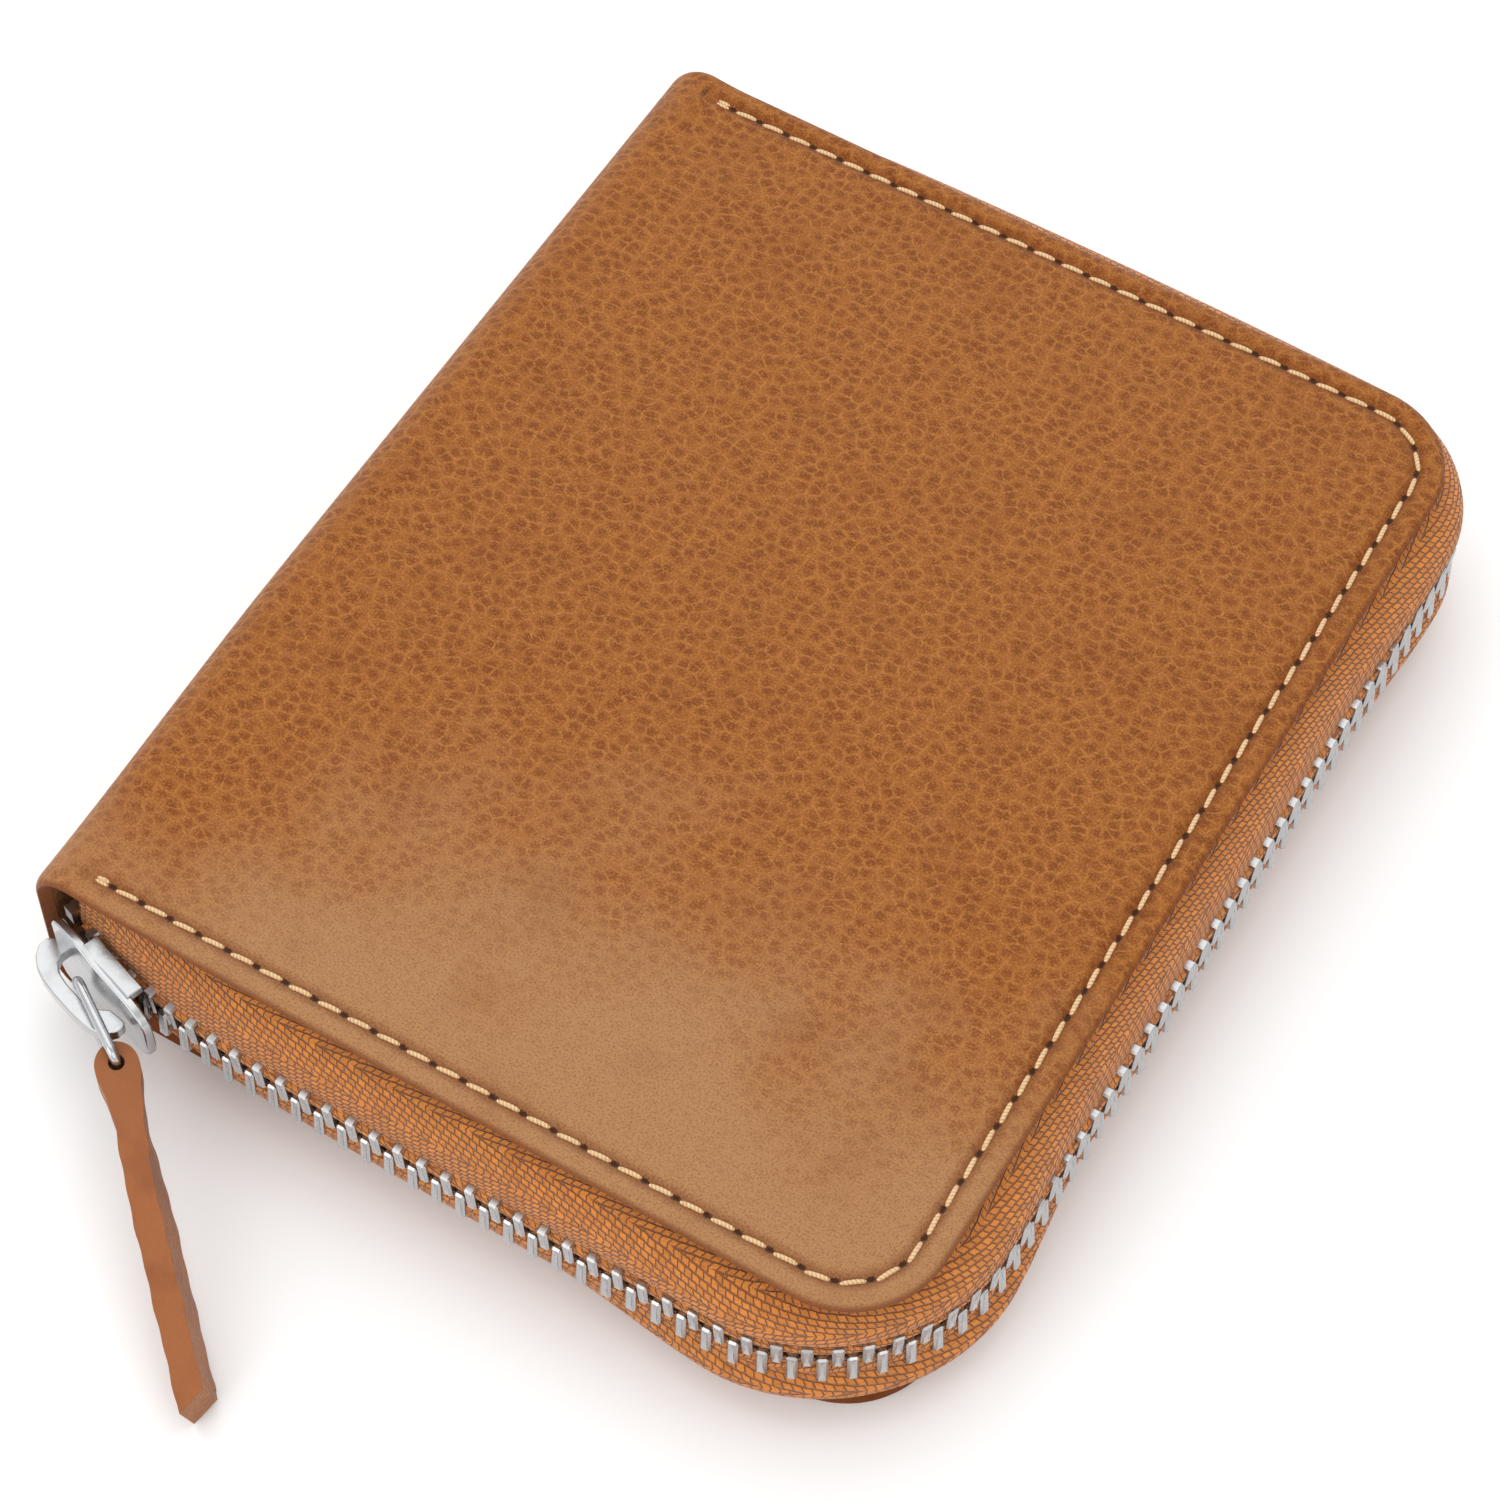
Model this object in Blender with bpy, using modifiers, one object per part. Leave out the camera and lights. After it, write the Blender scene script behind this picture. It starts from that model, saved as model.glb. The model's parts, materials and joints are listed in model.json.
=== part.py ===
"""Zip around wallet: two leather halves on a folding spine, closed on three
sides by a metal zip, with its slider, wire link and leather pull tab.

Sizes are in millimetres and are turned into metres as each shape is made."""

import math

import bmesh
import bpy
from mathutils import Matrix, Vector

MM = 0.001

# ---- driving dimensions -----------------------------------------------------
COVER_WIDTH = 90.0        # outer face of the spine to the zip-side edge
COVER_DEPTH = 112.0       # along the spine
CLOSED_HEIGHT = 21.0      # closed wallet, lying flat
HIDE = 1.5                # outer leather
FOLD_RADIUS = 4.5         # outer radius of the roll between a cover and the spine
CORNER_RADIUS = 9.5       # the covers' zip-side corners
EDGE_ROUND = 0.4          # rounding on the covers' edges
GAP = 0.35                # between layers that touch or are sewn together

BOARD = 0.65              # stiffener under each cover
LINING = 0.6
LINING_SIDE = 4.9         # lining's zip-side edge from the zip's path
LINING_ENDS = 1.75        # its ends from where the path begins
SPINE_LINING_ENDS = 6.0   # the spine's own lining from the covers' ends
LEAF = 0.8                # pocket and card leaves
LEAF_INSET = 6.0          # leaves' zip-side edge from the cover's edge
LEAF_ENDS = 8.5           # leaves' ends from the cover's ends
LEAF_COUNT = 3
LEAF_STEP = 10.0          # each card slot's mouth stands this far back
NOTE_INSET = 4.0          # note panel's mouth from the fold

TAPE = 0.6                # zip tape
TAPE_SEAM = 9.0           # how far the tape runs in under the cover
TAPE_BULGE = 1.4          # how far the tape swells past the teeth at the corners
TAPE_FLAT = 0.3           # and along the straight runs
TAPE_TURN = 3.1           # the tape's roll in under the cover's edge
FRONT_OUT = 2.3           # zip beyond the cover's edge where the front bows most
SIDE_OUT = 1.8            # zip beyond the cover's edge, side facing the spine
BOW_RADIUS = 900.0        # the front and back runs bow outwards on this radius
BOW_X = 5.0               # where they bow most, from the covers' middle
BEND_SPAN = 25.0          # they bend in over this much next to the spine
BEND_RADIUS = 76.0        # on this radius
ZIP_CORNER = 18.0         # radius of the zip's path round the front corner
BACK_CORNER = 13.5        # and round the back one
ZIP_INSET = 3.7           # zip's cut ends from the outer face of the spine
ZIP_TAIL = 6.0            # tape past the last tooth

PITCH = 2.54              # tooth to tooth in one row
TOOTH_LENGTH = 1.0        # along the chain
TOOTH_HALF = 1.2          # half thickness, square to the tape
TOOTH_MESH = 0.65         # how far a tooth passes the middle of the chain
TOOTH_BACK = 3.05         # middle of the chain to the back of a tooth
CORD_RADIUS = 0.55        # the cord the teeth are clamped to
CORD_HEIGHT = 2.35        # its middle from the middle of the chain
SPREAD = 1.9              # how far the slider's post parts each row
FIRST_TOOTH = 4.8         # behind the slider's middle

SLIDER_INSET = 9.9        # slider's middle from the outer face of the spine
SLIDER_SKEW = 4.5         # degrees the slider sits turned on the chain
SLIDER_RUN = 59.0         # how far it runs along the front
RUN_RADIUS = 225.0        # on an arc of this radius
SLIDER_NOSE = 6.8         # slider's narrow end from its middle
SLIDER_MOUTH = 7.0        # its wide end
CHANNEL_HALF = 2.25       # inside the slider, square to the tape
PLATE = 0.9               # slider plates
FLANGE = 0.85             # flange over the backs of the teeth
SLOT_HALF = 0.85          # tape slot between the flanges
ARCH_HALF = 0.65          # half thickness of the slider's arch
ARCH_RISE = 3.45          # arch above the outer plate

LINK_ALONG = -2.0         # link's near bar, from the slider's middle
LINK_RISE = 1.05          # and above the outer plate
LINK_LENGTH = 8.7         # bar to bar
LINK_GAUGE = 5.0          # wire to wire
LINK_WIRE = 0.5           # wire radius
LINK_BEND = 1.2           # radius of the link's corners
LINK_ANGLE = 13.5         # degrees outwards from the slider's own line
LINK_CLEAR = 0.35         # wire to the tab's loop
PULL_TILT = 10.5          # degrees the bars lean, so the tab slopes to the table
PULL_DOWNHILL = -40.0     # degrees, the way it slopes, from +X towards +Y
TAB_ANGLE = -42.6         # degrees, the tab's own direction in plan
TAB_LENGTH = 33.0
TAB_LEATHER = 1.3         # one of the strip's two layers
TAB_LOOP_WIDTH = 3.4
TAB_WIDTH = 5.0
TAB_LEAN = 12.0           # degrees the strip twists over between loop and tip
TAB_SLANT = 1.4           # how far the cut across the tip slopes

MIDDLE = CLOSED_HEIGHT / 2
SPINE_X = -COVER_WIDTH / 2
BEND_X = SPINE_X + BEND_SPAN
FOLD_X = SPINE_X + FOLD_RADIUS
END_Y = COVER_DEPTH / 2
SIDE_X = COVER_WIDTH / 2 + SIDE_OUT
BOW_Y = BOW_RADIUS - END_Y - FRONT_OUT

BASE_AT = Vector((0, 0, 0))
# a roll's quarter turn opens flat without stretching about this point inside it
UNROLL = (FOLD_RADIUS - HIDE / 2) * math.pi / 4
SPINE_AT = Vector((FOLD_X - UNROLL, 0, FOLD_RADIUS - UNROLL))
LID_AT = Vector((FOLD_X - UNROLL, 0, CLOSED_HEIGHT - FOLD_RADIUS + UNROLL))

# ---- looks: colour, metallic, roughness -------------------------------------
TAN = ((0.42, 0.19, 0.07), 0.0, 0.55)
TAN_INNER = ((0.45, 0.23, 0.10), 0.0, 0.65)
CANVAS = ((0.55, 0.24, 0.06), 0.0, 0.85)
CARD = ((0.30, 0.24, 0.17), 0.0, 0.9)
CLOTH = ((0.33, 0.20, 0.11), 0.0, 0.85)
NICKEL = ((0.72, 0.72, 0.73), 1.0, 0.22)


# ---- the zip's path: bend, bow, corner, side, corner, bow, bend ---------------
def corner(radius):
    """Centre of a front corner of the zip's path, and the angle it leaves the bow at."""
    x = SIDE_X - radius
    y = BOW_Y - math.sqrt((BOW_RADIUS - radius) ** 2 - (x - BOW_X) ** 2)
    return Vector((x, y)), math.atan2(x - BOW_X, BOW_Y - y)


FLIP = Vector((1, -1))
BOW_AT = Vector((BOW_X, BOW_Y))
BEND_END = math.asin((BEND_X - BOW_X) / BOW_RADIUS)
BEND_AT = BOW_AT + (BOW_RADIUS - BEND_RADIUS) * Vector((math.sin(BEND_END),
                                                        -math.cos(BEND_END)))
ZIP_START = math.asin((SPINE_X + ZIP_INSET - BEND_AT.x) / BEND_RADIUS)
FRONT_AT, FRONT_END = corner(ZIP_CORNER)
BACK_AT, BACK_END = corner(BACK_CORNER)
RUNS = [
    (BEND_AT, BEND_RADIUS, ZIP_START, BEND_END),
    (BOW_AT, BOW_RADIUS, BEND_END, FRONT_END),
    (FRONT_AT, ZIP_CORNER, FRONT_END, math.pi / 2),
    (Vector((SIDE_X, FRONT_AT.y)), 0.0, 0.0, -FRONT_AT.y - BACK_AT.y),
    (BACK_AT * FLIP, BACK_CORNER, math.pi / 2, math.pi - BACK_END),
    (BOW_AT * FLIP, BOW_RADIUS, math.pi - BACK_END, math.pi - BEND_END),
    (BEND_AT * FLIP, BEND_RADIUS, math.pi - BEND_END, math.pi - ZIP_START),
]
LENGTHS = [(last - first) * (radius or 1) for _, radius, first, last in RUNS]
CHAIN = sum(LENGTHS)


def chain(s):
    """The point on the zip's path at length s, and the way it runs there."""
    for run, length in zip(RUNS, LENGTHS):
        if s <= length or run is RUNS[-1]:
            break
        s -= length
    centre, radius, first, _ = run
    if not radius:
        return centre + Vector((0, s)), Vector((0, 1))
    a = first + s / radius
    way = Vector((math.cos(a), math.sin(a)))
    return centre + Vector((way.y, -way.x)) * radius, way


def on_chain(s, out, up):
    """A point beside the path: out from it and up from the chain's middle."""
    point, way = chain(s)
    return Vector((point.x + way.y * out, point.y - way.x * out, MIDDLE + up))


def stations(start, end, parts=(5, 11, 7, 3, 6, 12, 5)):
    """Lengths along the path from start to end, closer together in the corners."""
    out, at = [start], 0.0
    for length, n in zip(LENGTHS, parts):
        out += [at + length * i / n for i in range(1, n + 1)
                if start + 0.4 < at + length * i / n < end - 0.4]
        at += length
    return out + [end]


SLIDER_TURN = math.asin((SPINE_X + SLIDER_INSET - BEND_AT.x) / BEND_RADIUS)
SLIDER_S = BEND_RADIUS * (SLIDER_TURN - ZIP_START)
RUN_FROM, RUN_TO = chain(SLIDER_S)[0], chain(SLIDER_S + SLIDER_RUN)[0]
RUN_CHORD = RUN_TO - RUN_FROM
RUN_AT = ((RUN_FROM + RUN_TO) / 2 + Vector((-RUN_CHORD.y, RUN_CHORD.x)).normalized()
          * math.sqrt(RUN_RADIUS ** 2 - RUN_CHORD.length_squared / 4))
SLIDER_AT = Vector((*RUN_AT, MIDDLE))
ROW_START = SLIDER_S - FIRST_TOOTH
ROW_END = CHAIN - ZIP_TAIL


def smooth(t):
    t = min(max(t, 0.0), 1.0)
    return t * t * (3 - 2 * t)


def swell(s):
    """How far the tape stands out past the teeth at length s."""
    corners = (sum(LENGTHS[:2]) + LENGTHS[2] / 2, sum(LENGTHS[:4]) + LENGTHS[4] / 2)
    away = min(abs(s - middle) for middle in corners)
    full = TAPE_FLAT + (TAPE_BULGE - TAPE_FLAT) * smooth(1.6 - away / 20.0)
    return full * smooth((abs(s - SLIDER_S) - 7.5) / 9.0)


def spread(s):
    """How far the slider's post pushes a row aside at length s."""
    return SPREAD * smooth((SLIDER_S - 1.0 - s) / 4.5)


# ---- helpers ----------------------------------------------------------------
def material(name, colour, metallic, roughness):
    look = bpy.data.materials.new(name)
    look.use_nodes = True
    shader = look.node_tree.nodes["Principled BSDF"]
    shader.inputs["Base Color"].default_value = (*colour, 1)
    shader.inputs["Metallic"].default_value = metallic
    shader.inputs["Roughness"].default_value = roughness
    return look


def finish(thing, look, at=BASE_AT):
    """Put an object's origin on its joint's axis, give it its look and file it."""
    bpy.context.view_layer.update()
    thing.data.transform(Matrix.Translation(-at * MM) @ thing.matrix_world)
    thing.matrix_world = Matrix.Translation(at * MM)
    thing.data.shade_smooth()
    thing.data.set_sharp_from_angle(angle=math.radians(40))
    thing.data.materials.append(material(thing.name, *look))
    bpy.context.scene.collection.objects.unlink(thing)
    PARTS.objects.link(thing)


def meshed(thing):
    """A curve object as a welded mesh object of the same name."""
    name = thing.name
    bpy.context.view_layer.update()
    graph = bpy.context.evaluated_depsgraph_get()
    mesh = bpy.data.meshes.new_from_object(thing.evaluated_get(graph))
    place = thing.matrix_world.copy()
    bpy.data.objects.remove(thing, do_unlink=True)
    bm = bmesh.new()
    bm.from_mesh(mesh)
    bmesh.ops.remove_doubles(bm, verts=bm.verts, dist=1e-6)
    bm.to_mesh(mesh)
    bm.free()
    out = bpy.data.objects.new(name, mesh)
    out.matrix_world = place
    bpy.context.scene.collection.objects.link(out)
    return out


def curve(name, lines, cyclic=True, flat=False):
    """A POLY curve through each of some lines of points."""
    data = bpy.data.curves.new(name, "CURVE")
    data.dimensions = "2D" if flat else "3D"
    for line in lines:
        spline = data.splines.new("POLY")
        spline.points.add(len(line) - 1)
        for point, p in zip(spline.points, line):
            x, y, z = (*p, 0.0)[:3]
            point.co = (x * MM, y * MM, z * MM, 1)
        spline.use_cyclic_u = cyclic
    thing = bpy.data.objects.new(name, data)
    bpy.context.scene.collection.objects.link(thing)
    return thing


def plate(name, outlines, low, high, frame=Matrix.Identity(4)):
    """Flat outlines, the inner ones holes, as a plate between two heights."""
    thing = curve(name, outlines, flat=True)
    thing.data.fill_mode = "BOTH"
    thing.data.extrude = abs(high - low) / 2 * MM
    place = frame.copy()
    place.translation = (frame @ Vector((0, 0, (low + high) / 2))) * MM
    thing.matrix_world = place
    return meshed(thing)


def rod(name, line, radius, cyclic=False):
    """A round wire through a line of points."""
    thing = curve(name, [line], cyclic)
    thing.data.bevel_depth = radius * MM
    thing.data.bevel_resolution = 1
    thing.data.use_fill_caps = not cyclic
    return meshed(thing)


def block(name, low, high):
    """A cube primitive between two corners."""
    bm = bmesh.new()
    bmesh.ops.create_cube(bm, size=1)
    low, high = Vector(low) * MM, Vector(high) * MM
    bmesh.ops.scale(bm, vec=high - low, verts=bm.verts)
    bmesh.ops.translate(bm, vec=(high + low) / 2, verts=bm.verts)
    return from_bmesh(name, bm)


def from_bmesh(name, bm):
    mesh = bpy.data.meshes.new(name)
    bm.to_mesh(mesh)
    bm.free()
    thing = bpy.data.objects.new(name, mesh)
    bpy.context.scene.collection.objects.link(thing)
    return thing


def shell(name, across, along, place, thickness):
    """An open grid laid out by place(i, j), thickened to both sides."""
    bm = bmesh.new()
    bmesh.ops.create_grid(bm, x_segments=across - 1, y_segments=along - 1, size=0.5)
    for vert in bm.verts:
        i = round((vert.co.x + 0.5) * (across - 1))
        j = round((vert.co.y + 0.5) * (along - 1))
        vert.co = place(i, j) * MM
    thing = from_bmesh(name, bm)
    wall = thing.modifiers.new("wall", "SOLIDIFY")
    wall.thickness = thickness * MM
    wall.offset = 0
    wall.use_even_offset = True
    return thing


def rounded(thing, width):
    edge = thing.modifiers.new("edge", "BEVEL")
    edge.width = width * MM
    edge.segments = 2
    edge.limit_method = "ANGLE"
    edge.angle_limit = math.radians(60)


def combine(target, others, operation):
    """Boolean each of the others into, or out of, the target."""
    for other in others:
        step = target.modifiers.new(other.name, "BOOLEAN")
        step.operation = operation
        step.object = other
        other.hide_render = True
        other.display_type = "WIRE"
        bpy.context.scene.collection.objects.unlink(other)
        CUTTERS.objects.link(other)


def arc(cx, cy, radius, first, last, steps):
    """Points of an arc, its angles in degrees."""
    turns = [math.radians(first + (last - first) * i / steps) for i in range(steps + 1)]
    return [(cx + radius * math.cos(a), cy + radius * math.sin(a)) for a in turns]


# ---- covers, spine and inner layers -----------------------------------------
def leaf_outline(x0, x1, half_y, radius):
    """Square at the spine and rounded on the zip side."""
    return ([(x0, -half_y)] + arc(x1 - radius, radius - half_y, radius, -90, 0, 6)
            + arc(x1 - radius, half_y - radius, radius, 0, 90, 6) + [(x0, half_y)])


def sided(upper, z, thick):
    """Low and high of a layer: in the lower half, or mirrored in the upper one."""
    return (CLOSED_HEIGHT - z - thick, CLOSED_HEIGHT - z) if upper else (z, z + thick)


def cover(upper):
    outline = leaf_outline(FOLD_X, COVER_WIDTH / 2, END_Y, CORNER_RADIUS)
    name = "top_cover" if upper else "bottom_cover"
    thing = plate(name, [outline], *sided(upper, 0, HIDE))
    rounded(thing, EDGE_ROUND)
    finish(thing, TAN, LID_AT if upper else BASE_AT)


def spine_roll(upper):
    """The quarter roll of leather between a cover and the spine."""
    slack = math.degrees(GAP / FOLD_RADIUS)
    radius = FOLD_RADIUS - HIDE / 2
    middle = CLOSED_HEIGHT - FOLD_RADIUS if upper else FOLD_RADIUS
    turn = 1 if upper else -1

    def place(i, j):
        a = math.radians(180 - turn * (slack + (90 - 2 * slack) * i / 6))
        return Vector((FOLD_X + radius * math.cos(a), END_Y * (2 * j - 1),
                       middle + radius * math.sin(a)))

    name = "upper_spine_fold" if upper else "lower_spine_fold"
    finish(shell(name, 7, 2, place, HIDE), TAN, LID_AT if upper else SPINE_AT)


def spine():
    low, high = FOLD_RADIUS, CLOSED_HEIGHT - FOLD_RADIUS
    finish(block("spine_panel", (SPINE_X, -END_Y, low), (SPINE_X + HIDE, END_Y, high)),
           TAN, SPINE_AT)
    x, ends, edge = SPINE_X + HIDE + GAP, END_Y - SPINE_LINING_ENDS, 0.9
    finish(block("spine_lining", (x, -ends, low + edge), (x + LINING, ends, high - edge)),
           CLOTH, SPINE_AT)


def inner_layers(upper):
    """Board, lining, note panel and card leaves of one half, from the cover in."""
    at = LID_AT if upper else BASE_AT
    side, row = ("top", "upper") if upper else ("bottom", "lower")
    seam = TAPE_SEAM + GAP + 0.15
    tape_end = -chain(0)[0].y
    start = FOLD_X + 0.5
    z = HIDE + GAP
    layers = [(side + "_board", start, SIDE_X - seam, tape_end - seam, z, BOARD, CARD)]
    z += TAPE + GAP
    layers.append((side + "_lining", start, SIDE_X - LINING_SIDE,
                   tape_end - LINING_ENDS, z, LINING, CLOTH))
    z += LINING + GAP
    for i in range(LEAF_COUNT + 1):
        name = f"{row}_card_leaf_{i}" if i else row + "_note_panel"
        layers.append((name, FOLD_X + NOTE_INSET + LEAF_STEP * i,
                       COVER_WIDTH / 2 - LEAF_INSET, END_Y - LEAF_ENDS, z, LEAF, TAN_INNER))
        z += LEAF + GAP
    for name, x0, x1, half_y, z, thick, look in layers:
        outline = leaf_outline(x0, x1, half_y, CORNER_RADIUS + 1.5)
        finish(plate(name, [outline], *sided(upper, z, thick)), look, at)


# ---- the zip ----------------------------------------------------------------
def tape_profile():
    """Middle line of the tape: out from the chain, up from its middle, and each
    point's share of the bulge."""
    top = MIDDLE - HIDE - GAP - TAPE / 2
    straight = TOOTH_BACK + GAP + 1.4
    line = [(0.0, TOOTH_BACK + GAP, 0.0), (0.0, straight, 1.0)]
    for deg, share in ((24, 1.0), (46, 0.8), (68, 0.4), (90, 0.0)):
        a = math.radians(deg)
        line.append((-TAPE_TURN * (1 - math.cos(a)),
                     straight + (top - straight) * math.sin(a), share))
    return line + [(-TAPE_SEAM, top, 0.0)]


def zip_tape(upper):
    line = tape_profile()
    foot, top = line[0][1], line[-1][1]
    cuts = stations(0.0, CHAIN)
    sign = 1 if upper else -1

    def place(i, j):
        out, up, share = line[i]
        # the cut ends are rounded off towards the teeth
        trim = 2.2 * max(0.0, 1 - i / (len(line) - 2)) ** 2
        s = trim + cuts[j] * (1 - 2 * trim / CHAIN)
        out += share * swell(s)
        up += spread(s) * (top - up) / (top - foot)
        return on_chain(s, out, sign * up)

    name = "upper_zip_tape" if upper else "lower_zip_tape"
    finish(shell(name, len(line), len(cuts), place, TAPE), CANVAS,
           LID_AT if upper else BASE_AT)


def chain_block(name, s, along, half, low, high):
    """A cube primitive set across the chain at length s."""
    point, way = chain(s)
    thing = block(name, (-along / 2, -half, low), (along / 2, half, high))
    thing.matrix_world = (Matrix.Translation(Vector((*point, MIDDLE)) * MM)
                          @ Matrix.Rotation(math.atan2(way.y, way.x), 4, "Z"))
    return thing


def joined(name, things):
    """Several meshes as one, still separate bodies."""
    bpy.context.view_layer.update()
    bm = bmesh.new()
    for thing in things:
        thing.data.transform(thing.matrix_world)
        bm.from_mesh(thing.data)
        bpy.data.objects.remove(thing, do_unlink=True)
    return from_bmesh(name, bm)


def tooth_row(upper):
    sign = 1 if upper else -1
    cuts = stations(ROW_START - TOOTH_LENGTH / 2 - 0.2, ROW_END)
    cuts += [ROW_START + 0.95 * i for i in range(1, 5)]
    line = [on_chain(s, 0, sign * (CORD_HEIGHT + spread(s))) for s in sorted(cuts)]
    name = "upper_tooth_row" if upper else "lower_tooth_row"
    cord = rod(name, line, CORD_RADIUS)
    teeth = []
    s = ROW_START + (PITCH / 2 if upper else 0)
    while s < ROW_END - TOOTH_LENGTH:
        lift = spread(s)
        low, high = sorted((sign * (lift - TOOTH_MESH), sign * (lift + TOOTH_BACK)))
        teeth.append(chain_block("tooth", s, TOOTH_LENGTH, TOOTH_HALF, low, high))
        s += PITCH
    combine(cord, [joined("teeth", teeth)], "UNION")
    finish(cord, NICKEL, LID_AT if upper else BASE_AT)


def zip_stops():
    """A stop at the slider's end of each row, and one joining both far ends."""
    s = SLIDER_S - SLIDER_MOUTH + 0.7
    for name, sign, at in (("lower_top_stop", -1, BASE_AT), ("upper_top_stop", 1, LID_AT)):
        middle = sign * (CORD_HEIGHT + spread(s))
        stop = chain_block(name, s, 1.2, TOOTH_HALF, middle - 0.85, middle + 0.85)
        finish(stop, NICKEL, at)
    stop = chain_block("zip_end_stop", ROW_END + 1.3, 1.9, TOOTH_HALF + 0.15,
                       -TOOTH_BACK, TOOTH_BACK)
    finish(stop, NICKEL)


# ---- slider, link and tab ---------------------------------------------------
def axes(at, x, y, z):
    """A frame with its origin at a point and these three directions."""
    frame = Matrix((x, y, z)).transposed().to_4x4()
    frame.translation = at
    return frame


def slider_frame():
    """x along the slider towards its nose, y outwards, z down."""
    point, _ = chain(SLIDER_S)
    yaw = SLIDER_TURN - math.radians(SLIDER_SKEW)
    along = Vector((math.cos(yaw), math.sin(yaw), 0))
    out = Vector((math.sin(yaw), -math.cos(yaw), 0))
    return axes(Vector((*point, MIDDLE)), along, out, Vector((0, 0, -1)))


def slider():
    flat = slider_frame()
    # the same frame turned, with x along the slider, y up and z outwards
    upright = flat @ Matrix.Rotation(math.radians(-90), 4, "X")
    outer = CHANNEL_HALF + PLATE
    clear = TOOTH_BACK + GAP
    edge = clear + FLANGE
    mouth = -SLIDER_MOUTH
    half = [(SLIDER_NOSE, 2.6), (SLIDER_NOSE - 0.5, 3.6), (SLIDER_NOSE - 1.6, edge),
            (-1.0, edge), (-2.8, edge + 0.7), (mouth + 1.0, edge + 0.75),
            (mouth + 0.2, edge + 0.1), (mouth, 3.2)]
    outline = half + [(a, -b) for a, b in reversed(half)]
    body = plate("slider_body", [outline], CHANNEL_HALF, outer, upright)
    pieces = [plate("inner_plate", [outline], -outer, -CHANNEL_HALF, upright)]
    post = [(mouth + 0.3, 0.85), (mouth + 1.8, 0.85), (mouth + 3.1, 0.15)]
    post += [(a, -b) for a, b in reversed(post)]
    pieces.append(plate("post", [post], -CHANNEL_HALF - 0.4, CHANNEL_HALF + 0.4, upright))
    flange = [(4.0, clear), (-1.0, clear)]
    flange += [(a, clear + 0.05 + spread(SLIDER_S + a)) for a in (-1.9, -2.8)]
    flange += [(-2.8, edge + 0.6), (-1.0, edge - 0.1), (4.0, edge - 0.1)]
    for up in (1, -1):
        for out in (1, -1):
            low, high = sorted((out * SLOT_HALF, out * (CHANNEL_HALF + 0.4)))
            pieces.append(plate("flange", [[(a, up * b) for a, b in flange]],
                                low, high, upright))
    pieces.append(arch(flat, outer))
    combine(body, pieces, "UNION")
    finish(body, NICKEL, SLIDER_AT)


def arch(flat, foot):
    """The D-shaped arch the link hangs in, hooked back towards the plate."""
    top = foot + ARCH_RISE
    outside = [(-7.0, foot - 0.4), (-7.6, foot + 0.85), (-7.0, top - 1.3), (-5.4, top - 0.4),
               (-3.0, top), (0.0, top), (2.4, top - 0.25), (3.9, top - 0.9),
               (4.4, top - 1.9), (4.1, top - 2.9), (3.2, foot + 0.35)]
    inside = [(2.0, foot + 0.6), (1.5, foot + 1.3), (0.5, top - 1.65), (-1.0, top - 1.5),
              (-3.2, top - 1.55), (-4.6, top - 2.0), (-5.3, foot + 0.6), (-5.3, foot - 0.4)]
    return plate("arch", [outside + inside], -ARCH_HALF, ARCH_HALF, flat)


def level_turn(axis, yaw):
    """The direction square to the leaning axis whose plan direction is yaw."""
    flat = Vector((math.cos(yaw), math.sin(yaw), 0))
    return (flat - Vector((0, 0, flat.dot(axis) / axis.z))).normalized()


def pull_frames():
    """The link's frame on its near bar and the tab's on the far one: x along the
    piece, y across its thickness, z along the leaning bars."""
    tilt, downhill = math.radians(PULL_TILT), math.radians(PULL_DOWNHILL)
    axis = Vector((math.sin(tilt) * math.cos(downhill),
                   math.sin(tilt) * math.sin(downhill), math.cos(tilt)))
    base = slider_frame()
    near = base @ Vector((LINK_ALONG, CHANNEL_HALF + PLATE + LINK_RISE, 0))
    along = base.col[0]
    way = level_turn(axis, math.atan2(along.y, along.x) - math.radians(LINK_ANGLE))
    far = near + way * LINK_LENGTH
    tab_way = level_turn(axis, math.radians(TAB_ANGLE))
    return (axes(near, way, axis.cross(way), axis),
            axes(far, tab_way, axis.cross(tab_way), axis))


def pull_link():
    frame, _ = pull_frames()
    x, z = LINK_LENGTH - LINK_BEND, LINK_GAUGE / 2 - LINK_BEND
    line = (arc(x, z, LINK_BEND, 0, 90, 4) + arc(LINK_BEND, z, LINK_BEND, 90, 180, 4)
            + arc(LINK_BEND, -z, LINK_BEND, 180, 270, 4) + arc(x, -z, LINK_BEND, 270, 360, 4))
    wire = rod("pull_link", [frame @ Vector((a, 0, b)) for a, b in line], LINK_WIRE, True)
    finish(wire, NICKEL, frame.translation)


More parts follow.
